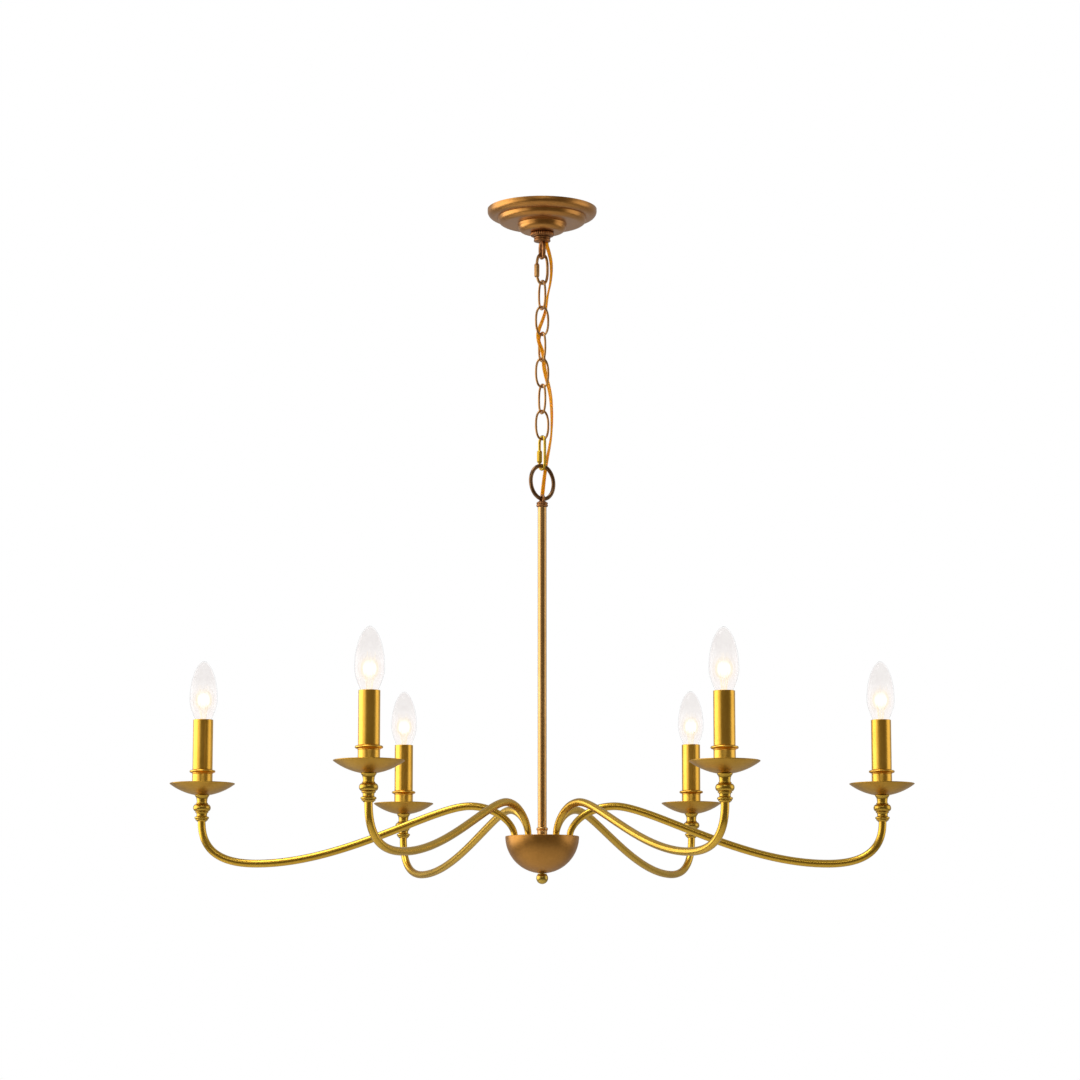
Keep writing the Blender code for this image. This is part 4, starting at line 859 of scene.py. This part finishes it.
# The lamps share one height, so each glow's heights are the same on all of them.
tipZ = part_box("bulb_1")[1].z
glass = glassLook()
glowAt = tipZ - 0.048
haze = [(0.1, (1.0, 0.9, 0.82)), (0.5, (1.0, 0.92, 0.85)), (0.72, (0.62, 0.55, 0.48)),
        (1.0, (0.6, 0.54, 0.48))]
hazeLook = glowLook("glassHaze", haze, 1.0, 0.13, tipZ - 0.08, tipZ, 0.12, 0.03)
glows = []
for wide, tall, tint, strength, alpha in ((0.0132, 0.02, (1.0, 0.86, 0.7), 1.0, 0.14),
                                          (0.0102, 0.0148, (1.0, 0.88, 0.58), 1.15, 0.3),
                                          (0.0074, 0.01, (1.0, 0.97, 0.88), 1.8, 0.72)):
    tints = [(0.0, tint), (1.0, tint)]
    look = glowLook(f"glow{len(glows)}", tints, strength, alpha, glowAt - tall, glowAt + tall, 0.35, 0.35)
    glows.append((wide, tall, look))
rayGlow = Look("rayGlow", {"Base Color": (0, 0, 0, 1), "Roughness": 1.0, "Emission Strength": 1.1})
rayCloud = rayGlow.noise(rayGlow.place(), 300.0)
rayGlow.set("Emission Color", rayGlow.ramp(rayCloud, [(0.35, (1.0, 0.8, 0.48)), (0.65, (1.0, 0.93, 0.76))]))
wireLook = satinMetal(
    "filamentWire", (0.75, 0.62, 0.42), (0.88, 0.76, 0.55), (0.95, 0.86, 0.68), 0.3, patch=300.0)
capMetal = satinMetal(
    "screwCap", (0.62, 0.6, 0.56), (0.74, 0.72, 0.68), (0.84, 0.82, 0.78), 0.25, patch=160.0)
flangeAt = plateLow - rim - stem["seat"]
pin = [[0, flangeAt - arm["flangeHeight"]], [0, flangeAt - 0.0002], [0, flangeAt], [0, flangeAt + 0.0001]]
stemLine = np.stack([np.zeros(6), np.linspace(flangeAt + 0.0012, -0.0004, 6)], axis=1)
armLine = np.concatenate([pin, stemLine, armCurve()])
growth = (arm["radius"] - arm["rootRadius"]) / arm["taper"]
armRadii = np.minimum(arm["radius"], arm["rootRadius"] + growth * armLine[:, 0])
armRadii[:2] = arm["flange"]
armRadii[2] = arm["flange"] - 0.0002
armRadii[3] = arm["rootRadius"]
knuckleShape, panShape, cupShape = knuckleOutline(), panOutline(), cupOutline()


# A bulb's inner heights are measured from its glass's tip.
wires = {"support": 0.00028, "coil": 0.00035, "coilHalf": 0.005, "coilDepth": 0.0012, "coilAt": -0.056,
         "coilRise": 0.0075, "halfTurns": 9}
rays = {"count": 9, "steps": 24, "thick": 0.00032, "thin": 0.00006, "foot": 0.0012, "footAt": -0.0775,
        "knee": 0.0052, "kneeAt": -0.05, "reach": 0.0055, "reachSwing": 0.0035, "endAt": -0.033,
        "endSwing": 0.004}
screw = {"foot": 0.0062, "top": 0.0882, "radius": 0.0052, "tooth": 0.0005, "pitch": 0.003}


def armPieces(k, axis):
    # bent tube, knuckle, pan and cup
    body = f"arm_{k}"
    a = math.radians(60.0 * (k - 1))
    root = hub["rootCircle"] * np.array([math.cos(a), math.sin(a)])
    out = np.array(axis) - root
    out /= np.linalg.norm(out)
    path = np.concatenate([root + armLine[:, :1] * out, rim + armLine[:, 1:2]], axis=1)
    armShell = tube(path, armRadii, arm["sides"], False, (-out[1], out[0], 0.0))
    addPiece(f"curvedArm{k}", body, armGold, [armShell], replaces=f"arm_{k}", slot="brushed_gold")
    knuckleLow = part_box(f"arm_knuckle_{k}")[0].z
    knuckleShell = turned(knuckleShape + [0, knuckleLow], knuckle["segments"], axis)
    addPiece(f"turnedKnuckle{k}", body, knobGold, [knuckleShell],
             replaces=f"arm_knuckle_{k}", slot="brushed_gold")
    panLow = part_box(f"drip_pan_{k}")[0].z
    panShell = turned(panShape + [0, panLow], pan["segments"], axis, closed=True)
    addPiece(f"dripPan{k}", body, panGold, [panShell],
             replaces=f"drip_pan_{k}", slot="brushed_gold", sharp=55.0)
    cupShell = turned(cupShape + [0, panLow], sleeve["segments"], axis, closed=True)
    addPiece(f"beadedCup{k}", body, sleeveGold, [cupShell], slot="brushed_gold")


def candlePieces(k, axis):
    # candle tube, with the lamp holder inside it
    r, bore = sleeve["radius"], sleeve["radius"] - sleeve["wall"]
    z0, z1 = heights(f"candle_sleeve_{k}")
    run = np.linspace(z0 + 0.002, z1 - 0.002, 24)
    outline = np.concatenate([
        rounded([(bore, z0 + 0.001), (bore, z0), (r, z0), (r, z0 + 0.001)], [0.0002, 0.0004], 5),
        np.stack([np.full(24, r), run], axis=1),
        rounded([(r, z1 - 0.001), (r, z1), (bore, z1), (bore, z1 - 0.001)], [0.0005, 0.0004], 6)])
    shell = turned(outline, sleeve["segments"], axis, closed=True)
    addPiece(f"candleTube{k}", f"arm_{k}", sleeveGold, [shell],
             replaces=f"candle_sleeve_{k}", slot="brushed_gold")
    repaint(f"lamp_socket_{k}", socketBlack)


def glassOutlines(tip):
    # outer and inner faces of the thin glass, from the tip down to its foot
    foot, wall = bulb["glassDrop"], bulb["wall"]
    drop = bulb["widestDrop"] * (1 - np.cos(np.linspace(0.03, np.pi / 2, 40)))
    drop = np.concatenate([drop, np.linspace(bulb["widestDrop"] + 0.001, foot, 34)])
    outside = np.stack([glassRadius(drop), tip - drop], axis=1)
    inside = outside * [1 - wall / bulb["radius"], 1.0]
    inside[:, 1] = tip - wall - drop * (1 - 2 * wall / foot)
    return outside, inside


def screwOutline(capLow, tip):
    # contact, cone and a thread that is a sine wave along the height
    thread = np.linspace(capLow + screw["foot"], tip - screw["top"], 90)
    wave = np.sin((thread - capLow) * 2 * np.pi / screw["pitch"])
    return np.concatenate([
        rounded([(0.0001, capLow), (0.0026, capLow), (0.003, capLow + 0.0016), (0.0048, capLow + 0.005)],
                [0.0006, 0.0008], 5),
        np.stack([screw["radius"] + screw["tooth"] * wave, thread], axis=1),
        [[0.0058, tip - 0.0872], [0.0001, tip - 0.0871]]])


def filamentShells(centre, axis):
    # two support wires, a zigzag between them that bows upwards, and the glass stub
    shells = []
    for side in (-1, 1):
        ends = np.array([[side * 0.0016, 0, -0.08],
                         [side * wires["coilHalf"], side * 0.001, wires["coilAt"]]])
        shells.append(tube(centre + ends, wires["support"], 10, False, (0, 1, 0)))
    t = np.linspace(0, 1, 40)
    coil = np.stack([wires["coilHalf"] * (1 - 2 * t),
                     wires["coilDepth"] * np.sin(t * wires["halfTurns"] * np.pi),
                     wires["coilAt"] + wires["coilRise"] * np.sin(t * np.pi)], axis=1)
    shells.append(tube(centre + coil, wires["coil"], 10, False, (0, 1, 0)))
    stub = rounded([(0.0001, -0.0865), (0.0032, -0.0865), (0.003, -0.079), (0.0012, -0.077),
                    (0.0001, -0.0768)], [0.0004, 0.001, 0.0008], 6)
    return [*shells, turned(stub + [0, centre[2]], 32, axis)]


def rayShells(k, centre):
    # fine lines of light that fan out of the stub and over a knee
    shells = []
    for n in range(rays["count"]):
        lean = math.radians(40.0 * n + 17.0 * k)
        reach = rays["reach"] + rays["reachSwing"] * math.sin(2.7 * n + k)
        across, over = math.cos(lean), math.sin(lean)
        start = centre + [rays["foot"] * across, rays["foot"] * over, rays["footAt"]]
        knee = centre + [rays["knee"] * across, rays["knee"] * over, rays["kneeAt"]]
        end = centre + [reach * across, reach * over, rays["endAt"] + rays["endSwing"] * math.cos(3.1 * n)]
        line = bezier(start, (start + knee) / 2, knee, end, rays["steps"])
        width = np.linspace(rays["thick"], rays["thin"], rays["steps"])
        shells.append(tube(line, width, 8, False, (0.3, 1, 0)))
    return shells


def bulbPieces(k, axis):
    # glass, screw base, filament, and the glow as nested soft shells
    body = f"bulb_{k}"
    low, tip = heights(body)

    def part(title, material, shells, **more):
        addPiece(title, body, material, shells, slot="bulb_glass", **more)

    outside, inside = glassOutlines(tip)
    glassShell = turned(np.concatenate([outside, inside[::-1]]), bulb["segments"], axis)
    part(f"torpedoGlass{k}", glass, [glassShell], replaces=body, sharp=75.0)
    part(f"screwCap{k}", capMetal, [turned(screwOutline(low, tip), 48, axis)])
    centre = np.array([*axis, tip])
    part(f"filament{k}", wireLook, filamentShells(centre, axis))
    for letter, (wide, tall, look) in zip("abc", glows):
        blob = ellipseArc((0, glowAt), (wide, tall), -89, 89, 24)
        part(f"glow{k}{letter}", look, [turned(blob, 40, axis)])
    fog = inside * [0.96, 1.0] - [0.0, 0.0008]
    fog = fog[fog[:, 1] > tip - 0.08]
    part(f"haze{k}", hazeLook, [turned(fog[::-1], 48, axis)])
    part(f"rays{k}", rayGlow.material, rayShells(k, centre))


for k in range(1, 7):
    sleeveLow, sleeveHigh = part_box(f"candle_sleeve_{k}")
    axis = ((sleeveLow.x + sleeveHigh.x) / 2, (sleeveLow.y + sleeveHigh.y) / 2)
    armPieces(k, axis)
    candlePieces(k, axis)
    bulbPieces(k, axis)
print("arms and lamps made")

# Hidden ceiling hardware keeps its own shapes.
for name in ("mounting_crossbar", "canopy_nipple", "canopy_locknut"):
    repaint(name, zincSteel)


# Studio: a pale floor well below, a white surround, and soft boxes at both sides.
studio = {"floorZ": -2.45, "floorRadius": 3.0, "floorThickness": 0.02, "lightFrom": (0.0, 0.43, 0.25),
          "frontShade": (0.15, 0.13, 0.1), "backShade": (0.42, 0.42, 0.42), "aim": (0.0, 0.0, -0.55)}
floorLook = Look("paleFloor", {"Roughness": 0.6})
floorCloud = floorLook.noise(floorLook.place(), 3.0)
floorLook.set("Base Color", floorLook.mix(floorCloud, (0.8, 0.8, 0.8), (0.84, 0.84, 0.84)))
floorTop, floorBase = studio["floorZ"], studio["floorZ"] - studio["floorThickness"]
floorRim = rounded([(0.02, floorBase), (studio["floorRadius"], floorBase), (studio["floorRadius"], floorTop),
                    (0.02, floorTop)], [0.004, 0.008], 4)
floor = addPiece("paleFloor", None, floorLook.material, [turned(floorRim)])

# The world darkens to the front and below. Seen straight or through glass it is white.
sky = Sky("studio")
bpy.context.scene.world = sky.world
towards = sky.node("TexCoord", {}, {}).out("Generated")
share = sky.node("VectorMath", {"operation": "DOT_PRODUCT"}, {0: towards, 1: studio["lightFrom"]})
shade = sky.ramp(share.out("Value") + 0.5, [(0.22, studio["frontShade"]), (0.86, studio["backShade"])])
seenBy = sky.node("LightPath", {}, {})
clear = sky.node("Math", {"operation": "MAXIMUM"},
                 {0: seenBy.out("Is Camera Ray"), 1: seenBy.out("Is Transmission Ray")}).out("Value")
sky.set("Color", sky.mix(clear, shade, (1.0, 1.0, 1.0)))


def softBox(name, place, aim, size, power, colour=(1, 1, 1)):
    data = bpy.data.lights.new(name, "AREA")
    data.shape = "RECTANGLE"
    data.size, data.size_y = size
    data.energy = power
    data.color = colour
    lamp = bpy.data.objects.new(name, data)
    bpy.context.scene.collection.objects.link(lamp)
    lamp.location = place
    lamp.rotation_euler = (Vector(aim) - Vector(place)).to_track_quat("-Z", "Y").to_euler()


softBox("leftBox", (-2.7, 0.15, -0.3), studio["aim"], (3.0, 2.4), 54.0, (1.0, 0.98, 0.95))
softBox("leftFront", (-2.3, -1.9, -0.2), studio["aim"], (1.6, 2.0), 10.0, (1.0, 0.98, 0.95))
softBox("rightBox", (2.8, -0.1, -0.4), studio["aim"], (2.2, 2.2), 15.0, (1.0, 0.97, 0.93))
softBox("topBox", (-1.0, -0.6, 1.9), (0, 0, -0.5), (1.8, 1.2), 38.0)
softBox("frontBox", (0.0, -3.2, 1.25), (0, 0, 0), (2.0, 0.6), 8.0)
bpy.context.scene.view_settings.view_transform = "Standard"
print("studio made")
